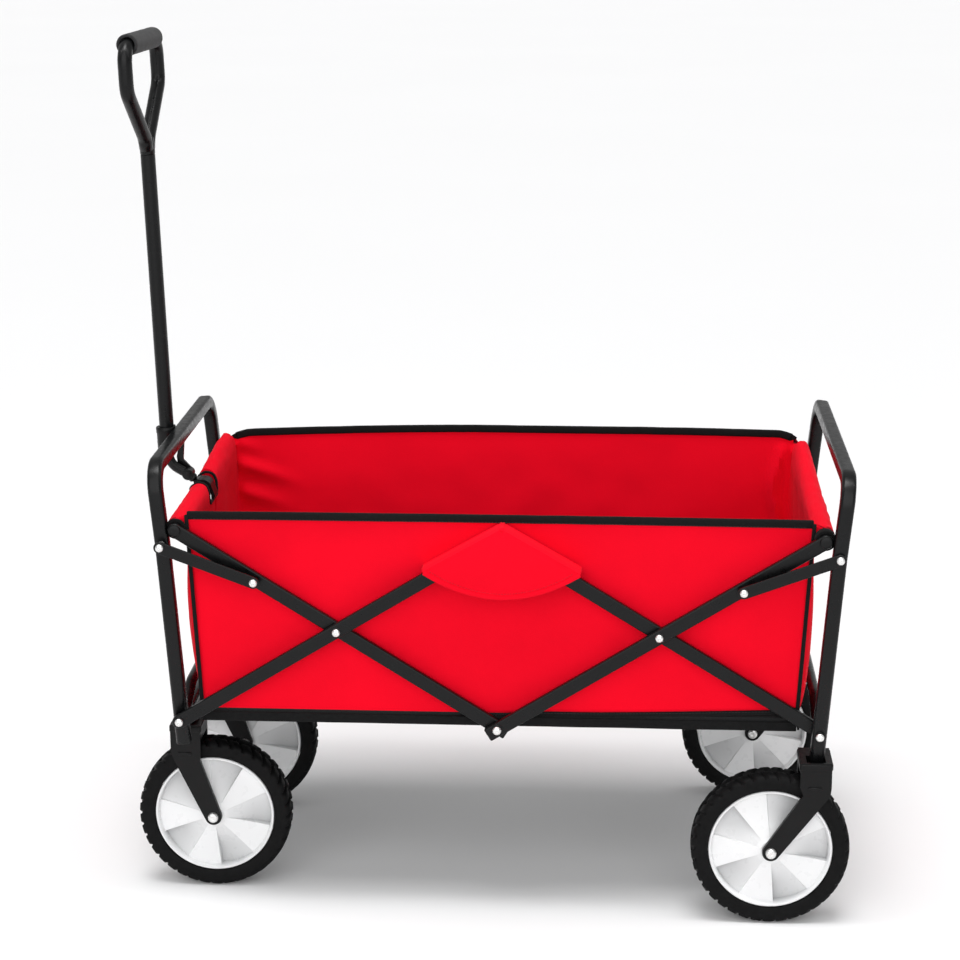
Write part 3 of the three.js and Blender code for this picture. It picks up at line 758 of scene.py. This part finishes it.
def rim_mesh(centre):
    """A rim with the same face on both sides, joined round its outside and round its bore."""
    columns = rim_columns()
    count = len(columns)
    face = quads(len(RIM_RINGS), count, ring=True)
    mesh = Mesh()
    for side in SIDES.values():
        points = []
        for radius, rise in RIM_RINGS:
            for sector, share, angle in columns:
                depth = pocket(sector, share, radius)
                y = side * (rise - POCKET_DEPTH * depth)
                points.append((radius * cos(angle), y, radius * sin(angle)))
                # Painted shade: a sunk pocket is greyer, more so where it is deeper.
                mesh.painted_shades.append(1 - (POCKET_PAINTED_SHADE * (0.35 + 0.65 * depth) if depth else 0))
        mesh.add(points, face, at=centre)
    last = (len(RIM_RINGS) - 1) * count
    far = len(mesh.points) // 2
    for k in range(count):
        after = (k + 1) % count
        mesh.faces.append((last + k, last + after, far + last + after, far + last + k))
        mesh.faces.append((k, after, far + after, far + k))
    return mesh


def tread(angle, radius, along):
    """Lugs in two rows, half a pitch apart, with slanted grooves and one round the middle."""
    if radius < TREAD_R:
        return radius, along
    row = 0.5 if along > 0 else 0.0
    slant = 0.035 * abs(along)
    phase = (angle * LUGS / (2 * pi) + row + slant) % 1
    groove = smooth_step((0.17 - abs(phase - 0.5)) / 0.07)
    groove *= smooth_step((radius - TREAD_R) / 3)
    middle = 1 - smooth_step((abs(along) - 1.4) / 1.6)
    return radius - LUG_DEPTH * max(groove, middle * 0.8), along


def tyre_mesh(centre):
    profile = TYRE_HALF + [(TYRE_R, 0)] + [(radius, -along) for radius, along in reversed(TYRE_HALF)]
    return Mesh().add(*turned(profile, segments=LUGS * 10, shaped=tread), at=centre)


def axle_mesh(centre):
    """A bolt's head and nut on the fork's two faces, and the axle between them."""
    rises = [(0, 4.2), (1.6, 4.3), (3.2, 4.9), (4.6, 4.6), (5.8, 3.4), (6.3, 1.8), (6.3, 0), (5, 0)]
    half = [(radius, AXLE_FACE + rise) for radius, rise in rises]
    return Mesh().add(*turned(whole_profile(half), segments=32), at=centre)


def holder(end, side):
    return f"front_caster_{side}" if end == "front" else "rear_frame"


for side, y in SIDES.items():
    for end, (x, track) in WHEELS.items():
        centre = (x, y * track, TYRE_R)
        wheel = f"{end}_wheel_{side}"
        for part, mesh, body, material, slot, crease in (
                ("rim", rim_mesh(centre), wheel, WHITE, "rim_white", 28),
                ("tyre", tyre_mesh(centre), wheel, RUBBER, "tyre_black", 40),
                ("axle", axle_mesh(centre), holder(end, side), ZINC, "bright_steel", SHARP)):
            piece(f"{end}_{part}_look_{side}", mesh, body, material, [f"{end}_{part}_{side}"], crease)
        carried(f"{end}_fork_{side}", PLASTIC, 1.3)

# ---- forks ----
FORK_HALF = (18, 26)
FORK_TOP = {"front": (-374, 208), "rear": (367, 203)}  # x of the stem, z of its top
RIB_Z = 172
UP = (0, 0, 1)


def fork_trim(stem_x, track, top):
    """A raised lip round the top of a fork, and a small rib on each of its faces."""
    lip = [(stem_x + u, track + v, top - 5) for u, v in rounded_box(*FORK_HALF, 2.4)]
    mesh = Mesh(sweep(lip, rounded_box(3.4, 1.2, 0.7, 3), UP, loop=True))
    for face in SIDES.values():
        rib_y = track + face * (FORK_HALF[1] + 0.2)
        rib = [(stem_x - 9, rib_y, RIB_Z), (stem_x + 7, rib_y, RIB_Z)]
        mesh.add(*sweep(rib, rounded_box(1.8, 1.3, 0.8, 3), UP))
    return mesh


for side, y in SIDES.items():
    for end, (stem_x, top) in FORK_TOP.items():
        trim = fork_trim(stem_x, y * WHEELS[end][1], top)
        piece(f"{end}_fork_lip_{side}", trim, holder(end, side), PLASTIC, crease=50)

carried("front_beam", STEEL, crease=50)
carried("handle_bracket", STEEL, 0.6)
carried("handle_hinge_pin", STEEL, crease=50)
carried("handle_saddle", SADDLE_GREY, 0.9)

# ---- pull handle ----
# Drawn upright in (x, y, z) from the hinge, with the pole beside it.
HINGE = (-388, 478)
LEAN = radians(2.05)  # the handle leans outwards
TWIST = radians(-3)  # and its loop is turned a little about the pole
POLE_X = -22.8
POLE_FOOT = 31
POLE_TOP = 390
POLE_R = 8.7
POLE_BORE = 6.4
INNER_R = 5.9
INNER_TOP = 335
COLLAR_LOW = POLE_FOOT - 1
COLLAR_FLAT = 9.5  # the collar is flat where it rests against the front hoop
COLLAR = [(8.9, 0), (11.6, 0), (12.4, 1), (12.4, 22), (13, 23.4), (13, 29), (12.4, 30), (8.9, 30)]
LOOP_FOOT = POLE_TOP + GAP
LOOP_HALF = 76.3
LOOP_KNEE_Z = 469
LOOP_R = 8.4
THROAT = [(0, 0), (8.4, 0), (8.9, 0.6), (8.9, 12), (8, 20), (0, 24)]
GRIP_Z = 522
GRIP_HALF = 63
GRIP_R = 12.5
ACROSS = (0, 1, 0)


def on_handle(point, twist=0.0):
    """A point drawn on the upright handle, turned about the pole and leaned out about the hinge."""
    x, y, z = point
    dx, dy = x - POLE_X, y
    x = POLE_X + dx * cos(twist) - dy * sin(twist)
    y = dx * sin(twist) + dy * cos(twist)
    out = x * cos(LEAN) - z * sin(LEAN)
    up = x * sin(LEAN) + z * cos(LEAN)
    return (HINGE[0] + out, y, HINGE[1] + up)


def handle_piece(name, parts, body, material, twist=0.0, crease=SHARP):
    leaned = [([on_handle(p, twist) for p in points], faces) for points, faces in parts]
    piece(name + "_look", Mesh(*leaned), body, material, [name], crease)


def inner_tube():
    """The inner tube bends to its hinge eye, and its foot goes on towards the saddle."""
    route = fillet([(0, 0, 0), (POLE_X, 0, 13), (POLE_X, 0, INNER_TOP)], 22)
    route[0] = Vector((-5, 0, 2.5))
    tube = sweep(route, circle(INNER_R), ACROSS)
    eye = turned([(3.3, -6), (6.4, -6), (7, -5.4), (7, 5.4), (6.4, 6), (3.3, 6)], (0, 0), 32)
    foot = sweep([(0, 0, 0), (4, 0, -3.8), (8.4, 0, -8)], circle(5.8), ACROSS, 3)
    handle_piece("handle_inner_tube", (tube, eye, foot), "handle_lower", STEEL)


def pole():
    profile = [(POLE_BORE, POLE_FOOT), (POLE_R - 0.4, POLE_FOOT), (POLE_R, POLE_FOOT + 0.5),
               (POLE_R, POLE_TOP - 0.5), (POLE_R - 0.4, POLE_TOP), (POLE_BORE, POLE_TOP)]
    shape = turned(profile, (POLE_X, 0), 32, "Z")
    handle_piece("handle_pole", [shape], "handle_upper", STEEL)


def collar_shape(angle, radius, along):
    reach = min(radius, COLLAR_FLAT / max(0.01, cos(angle))) if radius > 9 else radius
    return reach, along


def collar():
    profile = [(radius, COLLAR_LOW + rise) for radius, rise in COLLAR]
    shape = turned(profile, (POLE_X, 0), 60, "Z", collar_shape)
    handle_piece("handle_collar", [shape], "handle_upper", PLASTIC)


def loop():
    """The loop's tube, and the throat where both its ends meet the pole."""
    half = [(POLE_X, -3, LOOP_FOOT + 6), (POLE_X, -9, LOOP_FOOT + 20), (POLE_X, -LOOP_HALF, LOOP_KNEE_Z),
            (POLE_X, -LOOP_HALF, GRIP_Z)]
    tube = sweep(fillet(both_halves(half), 22, 2.5), circle(LOOP_R), (1, 0, 0))
    throat = turned([(radius, LOOP_FOOT + rise) for radius, rise in THROAT], (POLE_X, 0), 32, "Z")
    handle_piece("handle_loop", (tube, throat), "handle_upper", STEEL, TWIST, 50)


def grip_shape(angle, radius, along):
    wave = 0.25 * noise.noise(Vector((cos(angle) * 2, along / 14, sin(angle) * 2)))
    return radius + (wave if radius > 11 else 0), along


def grip():
    bore = [(8.8, -GRIP_HALF + 8), (8.8, GRIP_HALF - 8)]
    rim = [(9.4, GRIP_HALF - 0.4), (11, GRIP_HALF), (12.1, GRIP_HALF - 0.6), (GRIP_R, GRIP_HALF - 2)]
    outside = [(GRIP_R, GRIP_HALF - 4 - 5 * k) for k in range(24)]
    profile = bore + rim + outside + facing(reversed(rim), -1)
    points, faces = turned(profile, (POLE_X, GRIP_Z), 48, "Y", grip_shape)
    handle_piece("handle_grip", [(points, faces)], "handle_upper", FOAM, TWIST, 50)


inner_tube()
pole()
collar()
loop()
grip()

# ---- basket ----
SKIRT_Z = 235  # middle of the band round the floor board, and half its height
SKIRT_HALF = 5.6
HEM_HALF = 4.9
NEAR_HEM_Z = 482.5
FAR_HEM_Z = 500.4
HEM_END = 357
SIDE_COLUMNS = 130
WALL_ROWS = 40
WRAP_ROWS = 12
WRAP_END = radians(18)
NOTCH_HALF = 28  # the notch for the handle in the front end wall
NOTCH_Z = 447
TOP_OF_END = END_PIVOT[1]
# Height, reach and strength of each pleat that starts at the far wall's front seam.
PLEATS = ((476, 45, 1.3), (448, 95, 1.6), (412, 80, 1.1), (368, 70, 0.8))


def hem_top(x, side):
    """Height of the top edge of a side wall. The far one is higher and falls to its corners."""
    if side < 0:
        return NEAR_HEM_Z - (x / HEM_END) ** 2
    front = 9.3 * (max(0, -x - 40) / 310) ** 1.6
    rear = 2.2 * (max(0, x - 150) / 200) ** 2
    return FAR_HEM_Z - front - rear - 5 * smooth_step((abs(x) - 340) / 24)


def foot_edge(x):
    """Height of the lower edge of a wall, which climbs away from the board towards the rear."""
    return 239.8 + 6.5 * smooth_step((x + 60) / 130) + 7 * (max(0, x - 100) / 220) ** 1.3


def half_length(z):
    top_x = END_PIVOT[0] - WRAP_R
    return FOOT_X + (top_x - FOOT_X) * (z - FOOT_TOP_Z) / (END_PIVOT[1] - FOOT_TOP_Z)


def wrinkle(a, b, scale, seed):
    return noise.noise(Vector((a / scale, b / scale, seed)))


def side_offset(x, z, side):
    """How far a side wall stands out from its plane. It is slack inwards, behind the bars."""
    height = min(1, max(0, (z - FOOT_TOP_Z) / 232))
    slack = sin(pi * height) ** 0.7
    wave = 3.4 * wrinkle(x, z * 0.7, 120, 3 * side) + 1.6 * wrinkle(x, z, 45, 11 * side)
    offset = slack * (wave - 2.2)
    if side > 0:
        offset -= 7 * slack ** 0.5 * corner_fold(x, z)
    return min(1.0, offset)


def corner_fold(x, z):
    """Pleats from the far wall's front seam, and a soft upright fold near its rear seam."""
    from_front, from_rear = x + half_length(z), half_length(z) - x
    pleats = 0.0
    for height, reach, strength in PLEATS:
        drop = height - z - 0.32 * from_front
        pleats += strength * exp(-(drop / 9) ** 2) * (1 - smooth_step(from_front / reach))
    sway = 16 + 5 * sin(z / 21)
    upright = 1.5 * exp(-((from_rear - sway) / 5.5) ** 2)
    return pleats * smooth_step(from_front / 10) + upright * smooth_step(from_rear / 8)


def end_offset(y, z, sign):
    """An end wall bulges outwards between its stitched edges, with soft upright folds."""
    height = min(1, max(0, (z - FOOT_TOP_Z) / 213))
    across = sin(pi / 2 * min(1, (PANEL_Y - abs(y)) / 30))
    upright = sin(pi * height ** 0.8)
    bulge = 9 * upright * across ** 0.7
    folds = 2.6 * sin(y / 15 + 1.4 * sign + 0.006 * (z - 300)) * (0.3 + 0.7 * (1 - height)) * across
    return bulge + folds * smooth_step(height / 0.08) + 1.6 * wrinkle(y, z, 50, 7 * sign) * upright


def corner_lift(y):
    """The rolled ends are drawn up to the far wall's higher corner."""
    return 14 * smooth_step((y + 60) / 235)


def side_column(x_share, side):
    """Points up a side wall where it is this share of the way along."""
    column = []
    low = foot_edge(x_share * FOOT_X)
    high = hem_top(x_share * 358, side) - 4
    for z in spread(low, high, WALL_ROWS + WRAP_ROWS):
        x = x_share * half_length(z)
        column.append((x, side * (PANEL_Y + side_offset(x, z, side)), z))
    return column


def wrap_point(sign, y, share, grow=0.0):
    """A point this share of the way over an end tube, where the corner may draw the cloth up."""
    angle = pi + (WRAP_END - pi) * share
    radius = WRAP_R + grow
    radius += 0.9 * noise.noise(Vector((2 * cos(angle), 2 * sin(angle), y / 24 + 5 * sign)))
    x = END_PIVOT[0] + radius * cos(angle)
    lift = 1 + corner_lift(y) / WRAP_R
    return (sign * x, y, TOP_OF_END + radius * lift * sin(angle))


def end_column(y, sign):
    """Points up an end wall and over the end tube, or only up to the notch for the handle."""
    column = []
    notched = sign < 0 and abs(y) < NOTCH_HALF
    high = NOTCH_Z if notched else TOP_OF_END
    rows = WALL_ROWS + (WRAP_ROWS if notched else 0)
    for z in spread(foot_edge(sign * FOOT_X), high, rows):
        fade = 1 - smooth_step((z - TOP_OF_END + 22) / 20)
        column.append((sign * (half_length(z) + end_offset(y, z, sign) * fade), y, z))
    if not notched:
        column += [wrap_point(sign, y, k / WRAP_ROWS) for k in range(1, WRAP_ROWS + 1)]
    return column


def basket_columns():
    """Columns of points round the basket, starting at the front near corner."""
    shares = spread(-1, 1, SIDE_COLUMNS)
    beside_notch, in_notch = NOTCH_HALF + 0.6, NOTCH_HALF - 0.6
    ys = spread(-PANEL_Y, -beside_notch, 34) + spread(-in_notch, in_notch, 12)
    ys += spread(beside_notch, PANEL_Y, 34)
    columns = [side_column(share, -1) for share in shares]
    columns += [end_column(y, 1) for y in ys[1:-1]]
    columns += [side_column(share, 1) for share in reversed(shares)]
    columns += [end_column(y, -1) for y in reversed(ys[1:-1])]
    return columns


def basket_mesh():
    """The four walls in one sheet, and the length that the sheet was cut to."""
    mesh = Mesh()
    columns = basket_columns()
    travelled = 0.0
    before = Vector(columns[0][WALL_ROWS // 2])
    for column in columns:
        middle = Vector(column[WALL_ROWS // 2])
        travelled += (middle - before).length
        before = middle
        climbed = 0.0
        for row, point in enumerate(column):
            if row:
                climbed += (Vector(point) - Vector(column[row - 1])).length
            mesh.points.append(point)
            mesh.flat.append((travelled, climbed))
    mesh.faces = quads(len(columns), len(columns[0]), loop=True, turned_over=True)
    return mesh, travelled


def soft(made):
    """A soft piece, given a mesh of its own."""
    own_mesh(made)
    return made


def sewn_tape(name, mesh, along=(0, 1)):
    """Black tape on the basket, whose flat length is the sum of these coordinates."""
    mesh.flat = [(sum(p[axis] for axis in along), p[2]) for p in mesh.points]
    return soft(piece(name, mesh, "basket", TAPE, crease=50))


def side_binding(side, y):
    """Tape along a side wall's hem, foot and upright seams, and the skirt that hides the board."""
    reach, taper = (364, 8) if y > 0 else (HEM_END, 0.8)
    hem = [(x, y * PANEL_Y, hem_top(x, y) - HEM_HALF + 0.25 * wrinkle(x, 0, 30, y))
           for x in range(-reach, reach + 1, 7)]
    foot = [(x, y * (PANEL_Y + 0.4), foot_edge(x) - 2) for x in range(-343, 344, 7)]
    skirt = [(x, y * (PANEL_Y + 2.6), SKIRT_Z + 0.3 * wrinkle(x, 4, 60, y))
             for x in range(-345, 346, 10)]
    mesh = Mesh(sweep(hem, rounded_box(2.4, HEM_HALF, 2.1, 4), ACROSS, taper),
                sweep(foot, rounded_box(1.7, 2.9, 1.4, 4), ACROSS),
                sweep(skirt, rounded_box(1.4, SKIRT_HALF, 1.2, 4), ACROSS))
    for sign in ENDS.values():
        low, high = foot_edge(sign * FOOT_X) - 4, hem_top(sign * 361, y) - 4
        upright = [(sign * (half_length(z) - 1.6), y * (PANEL_Y + 1.7), z) for z in spread(low, high, 26)]
        mesh.add(*sweep(upright, rounded_box(1.5, 2.3, 1.2, 4), ACROSS))
    return sewn_tape(f"{side}_binding", mesh)


def foot_binding(end, sign):
    """Tape along the foot of an end wall, and the skirt below it."""
    foot = [(sign * (FOOT_X + 0.2), y, foot_edge(sign * FOOT_X) - 2) for y in range(-182, 183, 7)]
    skirt = [(sign * (FOOT_X + 0.6), y, SKIRT_Z) for y in range(-187, 188, 11)]
    mesh = Mesh(sweep(foot, rounded_box(2.9, 1.7, 1.4, 4), UP),
                sweep(skirt, rounded_box(SKIRT_HALF, 1.4, 1.2, 4), UP))
    return sewn_tape(f"{end}_foot_binding", mesh, along=(1,))


def notch_binding():
    """Tape round the notch in the front end wall: over the roll, down, across and back up."""
    over = [wrap_point(-1, -NOTCH_HALF, k / 16, 0.4) for k in range(16, -1, -1)]
    down = [(-half_length(z), -NOTCH_HALF, z) for z in spread(TOP_OF_END - 4, NOTCH_Z + 5, 3)]
    path = both_halves(over + down + [(-half_length(NOTCH_Z), -NOTCH_HALF + 5, NOTCH_Z + 0.5)])
    return sewn_tape("handle_notch_binding", Mesh(sweep(path, rounded_box(1.5, 2.2, 1.1, 4), UP)))


walls, perimeter = basket_mesh()
panels = ["near_panel", "far_panel", "front_panel", "rear_panel"]
basket = soft(thickened(piece("basket_cloth", walls, "basket", RED, panels, 60, False), 1.2))
tapes = [side_binding(side, y) for side, y in SIDES.items()]
tapes += [foot_binding(end, sign) for end, sign in ENDS.items()]
tapes.append(notch_binding())

# ---- flaps over the top centre pivots ----
# Each flap is a pocket sewn to the side wall along its slanted edges and open below, where the bars come
# out.
FLAP_X = 5
FLAP_HALF = 90
FLAP_APEX = 472
FLAP_CORNER = 420.5
FLAP_FOOT = 392
FLAP_LIFT = 25.6
FLAP_ROWS = 30
FLAP_COLUMNS = 40
SHELF_COLUMNS = 5


def flap_point(a, b, side):
    """a runs across from -1 to 1, and past that over the bars to the seam. b runs down from 0."""
    across = max(-1, min(1, a))
    edge = FLAP_FOOT + (FLAP_CORNER - FLAP_FOOT) * across * across
    x = FLAP_X + FLAP_HALF * across * b
    z = FLAP_APEX - (FLAP_APEX - edge) * b
    over = abs(a) - abs(across)
    puff = 2.6 * (1 - across * across) * sin(pi * min(1, b * 0.85))
    puff += 0.9 * wrinkle(x, z, 24, 5 * side) * b
    crease = 0.8 * exp(-((a * b * FLAP_HALF) / 2.2) ** 2) * (1 - smooth_step(b / 0.3))
    lift = FLAP_LIFT + (0 if over else puff - crease) - (FLAP_LIFT - 1.8) * over
    rise = 1.5 * sin(pi / 2 * min(1, over * 5))
    return (x + (0.5 if a > 0 else -0.5) * rise, side * (PANEL_Y + lift), z + rise)


def flap_mesh(side):
    shelf = [k / SHELF_COLUMNS for k in range(1, SHELF_COLUMNS + 1)]
    columns = [-1 - k for k in reversed(shelf)] + spread(-1, 1, FLAP_COLUMNS) + [1 + k for k in shelf]
    mesh = Mesh()
    for b in spread(0.012, 1, FLAP_ROWS):
        for a in columns:
            point = flap_point(a, b, side)
            over = max(0, abs(a) - 1) * FLAP_LIFT
            mesh.points.append(point)
            mesh.flat.append((point[0] + (over if a > 0 else -over), point[2]))
    mesh.faces = quads(FLAP_ROWS + 1, len(columns))
    return mesh


def flap_hem(side):
    """The folded edges of a flap, a little thicker than the cloth, and its tip sewn to the wall."""
    mesh = Mesh()
    foot = [flap_point(a, 1, side) for a in spread(-0.99, 0.99, 50)]
    mesh.add(*sweep([(x, y + side * 0.3, z) for x, y, z in foot], rounded_box(1.2, 2.4, 1.0, 3), ACROSS))
    tip = flap_point(0, 0.02, side)
    seam = [(FLAP_X, side * (PANEL_Y + 0.6), FLAP_APEX + 0.8), (FLAP_X, tip[1], FLAP_APEX + 0.2),
            (FLAP_X, tip[1], tip[2])]
    mesh.add(*sweep(seam, rounded_box(3.2, 1.5, 1.2, 3), (1, 0, 0)))
    for sign in ENDS.values():
        for a, size in ((1, 0.9), (1.9, 1.3)):
            edge = [flap_point(sign * a, b, side) for b in spread(0.03, 1, 30)]
            mesh.add(*sweep(edge, rounded_box(size, size, size * 0.8, 3), ACROSS))
    mesh.flat = [(p[0], p[2]) for p in mesh.points]
    return mesh


for side, y in SIDES.items():
    cloth = piece(f"{side}_flap_cloth", flap_mesh(y), "basket", RED, [f"{side}_flap"], 60, False)
    flap = soft(thickened(cloth, 1.4))
    edge = piece(f"{side}_flap_edge", flap_hem(y), "basket", RED, crease=50)
    soft(edge)

# ---- rolled ends ----
# The cloth's inner turns round each end tube, which turn with the bars under the end wall.
ROLL_R = 9.7
ROLL_HALF = 184
ROLL_AROUND = 32


def roll_shell(mesh, sign, low, high):
    """A stretch of the roll between two distances along Y."""
    columns = max(2, round((high - low) / 5))
    points, flat = [], []
    for y in spread(low, high, columns):
        for k in range(ROLL_AROUND):
            angle = 2 * pi * k / ROLL_AROUND
            u, v = cos(angle), sin(angle)
            radius = ROLL_R + 0.5 * noise.noise(Vector((1.3 * u, 1.3 * v, y / 24 + 5 * sign)))
            points.append((sign * END_PIVOT[0] + radius * u, y, END_PIVOT[1] + radius * v))
            flat.append((y, radius * angle))
    mesh.add(points, quads(columns + 1, ROLL_AROUND, ring=True, turned_over=True), flat)


for end, sign in ENDS.items():
    stretches = [(-ROLL_HALF, ROLL_HALF)]
    if end == "front":
        stretches = [(-ROLL_HALF, -NOTCH_HALF), (NOTCH_HALF, ROLL_HALF)]
    roll = Mesh()
    for low, high in stretches:
        roll_shell(roll, sign, low, high)
    # The roll wears the darker red, painted shade on its top.
    made = piece(f"{end}_roll_cloth", roll, f"{end}_top_bars", ROLL_RED_PAINTED_SHADE, [f"{end}_sleeve"],
                 60, False)
    thickened(made, 1.0)

# ---- floor board and mat ----
MAT_HALF = (337, 181)
MAT_Z = (246.1, 252)
MAT_GRID = (120, 60)
MAT_FOLDS = (-168, 0, 168)  # lines across the mat where it is pressed down
BOARD_Z = (237.2, 245.5)


def mat_height(x, y):
    """The mat's top is rounded towards its edges and lower along its folds."""
    border = min(MAT_HALF[0] - abs(x), MAT_HALF[1] - abs(y))
    z = MAT_Z[1] - 1.6 * (1 - smooth_step(border / 9))
    for line in MAT_FOLDS:
        z -= 2.4 * (1 - smooth_step(abs(x - line) / 7))
    return z


def mat_mesh():
    columns, lines = MAT_GRID
    places = [(x, y) for x in spread(-MAT_HALF[0], MAT_HALF[0], columns)
              for y in spread(-MAT_HALF[1], MAT_HALF[1], lines)]
    across = lines + 1
    face = quads(columns + 1, across, turned_over=True)
    mesh = Mesh().add([(x, y, MAT_Z[0]) for x, y in places], [f[::-1] for f in face])
    mesh.add([(x, y, mat_height(x, y)) for x, y in places], face)
    rim = [i * across for i in range(columns + 1)] + [columns * across + k for k in range(1, lines + 1)]
    rim += [i * across + lines for i in range(columns - 1, -1, -1)] + list(range(lines - 1, 0, -1))
    for a, b in zip(rim, rim[1:] + rim[:1]):
        mesh.faces.append((a, b, len(places) + b, len(places) + a))
    mesh.flat = [(x, y) for x, y, z in mesh.points]
    return mesh


mat = piece("floor_mat_cloth", mat_mesh(), "basket", FELT, ["floor_mat"], 50)
soft(mat)
half_x, half_y = FOOT_X - 1, PANEL_Y + 1
corners = [(-half_x, BOARD_Z[0]), (half_x, BOARD_Z[0]), (half_x, BOARD_Z[1]), (-half_x, BOARD_Z[1])]
board = Mesh(prism(corners, -half_y, half_y))
board.flat = [(x, y + z) for x, y, z in board.points]
soft(bevelled(piece("floor_board_cover", board, "basket", FELT, ["floor_board"]), 2.2))


# ---- stitching ----
def stitches(name, path, out, material, length=2.6, pitch=3.8, radius=0.42):
    """A row of stitches along a path, each a short rounded thread that stands out a little."""
    path = [Vector(p) for p in path]
    out = Vector(out)
    mesh = Mesh()
    left = pitch / 2
    for a, b in zip(path, path[1:]):
        span = (b - a).length
        along = (b - a).normalized()
        while left < span:
            middle = a + along * left
            reach, rise = along * length / 2, along * length * 0.3
            thread = [middle - reach - out * 0.25, middle - rise + out * 0.2,
                      middle + rise + out * 0.2, middle + reach - out * 0.25]
            mesh.add(*sweep(thread, circle(radius, 6), out, 0.2))
            left += pitch
        left -= span
    return piece(name, mesh, "basket", material, crease=60)


for side, y in SIDES.items():
    out = (0, y, 0)
    hem_line = [(x, y * (PANEL_Y + 2.6), hem_top(x, y) - 2 * HEM_HALF + 1.4) for x in range(-350, 351, 10)]
    foot_line = [(x, y * (PANEL_Y + 2.2), foot_edge(x) - 0.5) for x in range(-338, 339, 10)]
    arc = [flap_point(a, 0.94, y) for a in spread(-0.97, 0.97, 60)]
    arc = [(x, flap_y + y * 0.8, z) for x, flap_y, z in arc]
    soft(stitches(f"{side}_hem_stitches", hem_line, out, BLACK_THREAD))
    soft(stitches(f"{side}_foot_stitches", foot_line, out, BLACK_THREAD))
    soft(stitches(f"{side}_flap_stitches", arc, out, RED_THREAD, 2.2, 3.2, 0.32))

# ---- floor, light and sky ----
# In metres. The key light comes from above, the fill from in front, and a narrow strip light
# over the wagon's near side softens the shadow's edge.
FLOOR_REACH = 400
SKY_STRENGTH = 0.47
STRIP_PLACE = (MIDDLE_X, -0.45, 2.3)


def make_stage():
    data = bpy.data.meshes.new("floor")
    corners = [(x * FLOOR_REACH, y * FLOOR_REACH, 0) for x, y in ((-1, -1), (1, -1), (1, 1), (-1, 1))]
    data.from_pydata(corners, [], [(0, 1, 2, 3)])
    data.materials.append(floor_paint())
    in_scene("floor", data)


def light(name, kind, energy, degrees, **settings):
    data = bpy.data.lights.new(name, kind)
    data.energy = energy
    for key, value in settings.items():
        setattr(data, key, value)
    made = in_scene(name, data)
    made.rotation_euler = [radians(a) for a in degrees]
    return made


def make_light():
    world = bpy.data.worlds.new("studio")
    bpy.context.scene.world = world
    world.use_nodes = True
    sky = world.node_tree.nodes["Background"]
    sky.inputs["Color"].default_value = (1, 1, 1, 1)
    sky.inputs["Strength"].default_value = SKY_STRENGTH
    light("key", "SUN", 1.5, (8, -2, 0), angle=radians(28))
    light("fill", "SUN", 1.6, (67, -8, 0), angle=radians(70))
    strip_light = light("strip", "AREA", 17, (8, 0, 0), shape="RECTANGLE", size=5, size_y=0.25)
    strip_light.location = STRIP_PLACE
    strip_light.visible_camera = False
    bpy.context.scene.view_settings.view_transform = "Standard"


make_stage()
make_light()

low, high = CAD_BOX
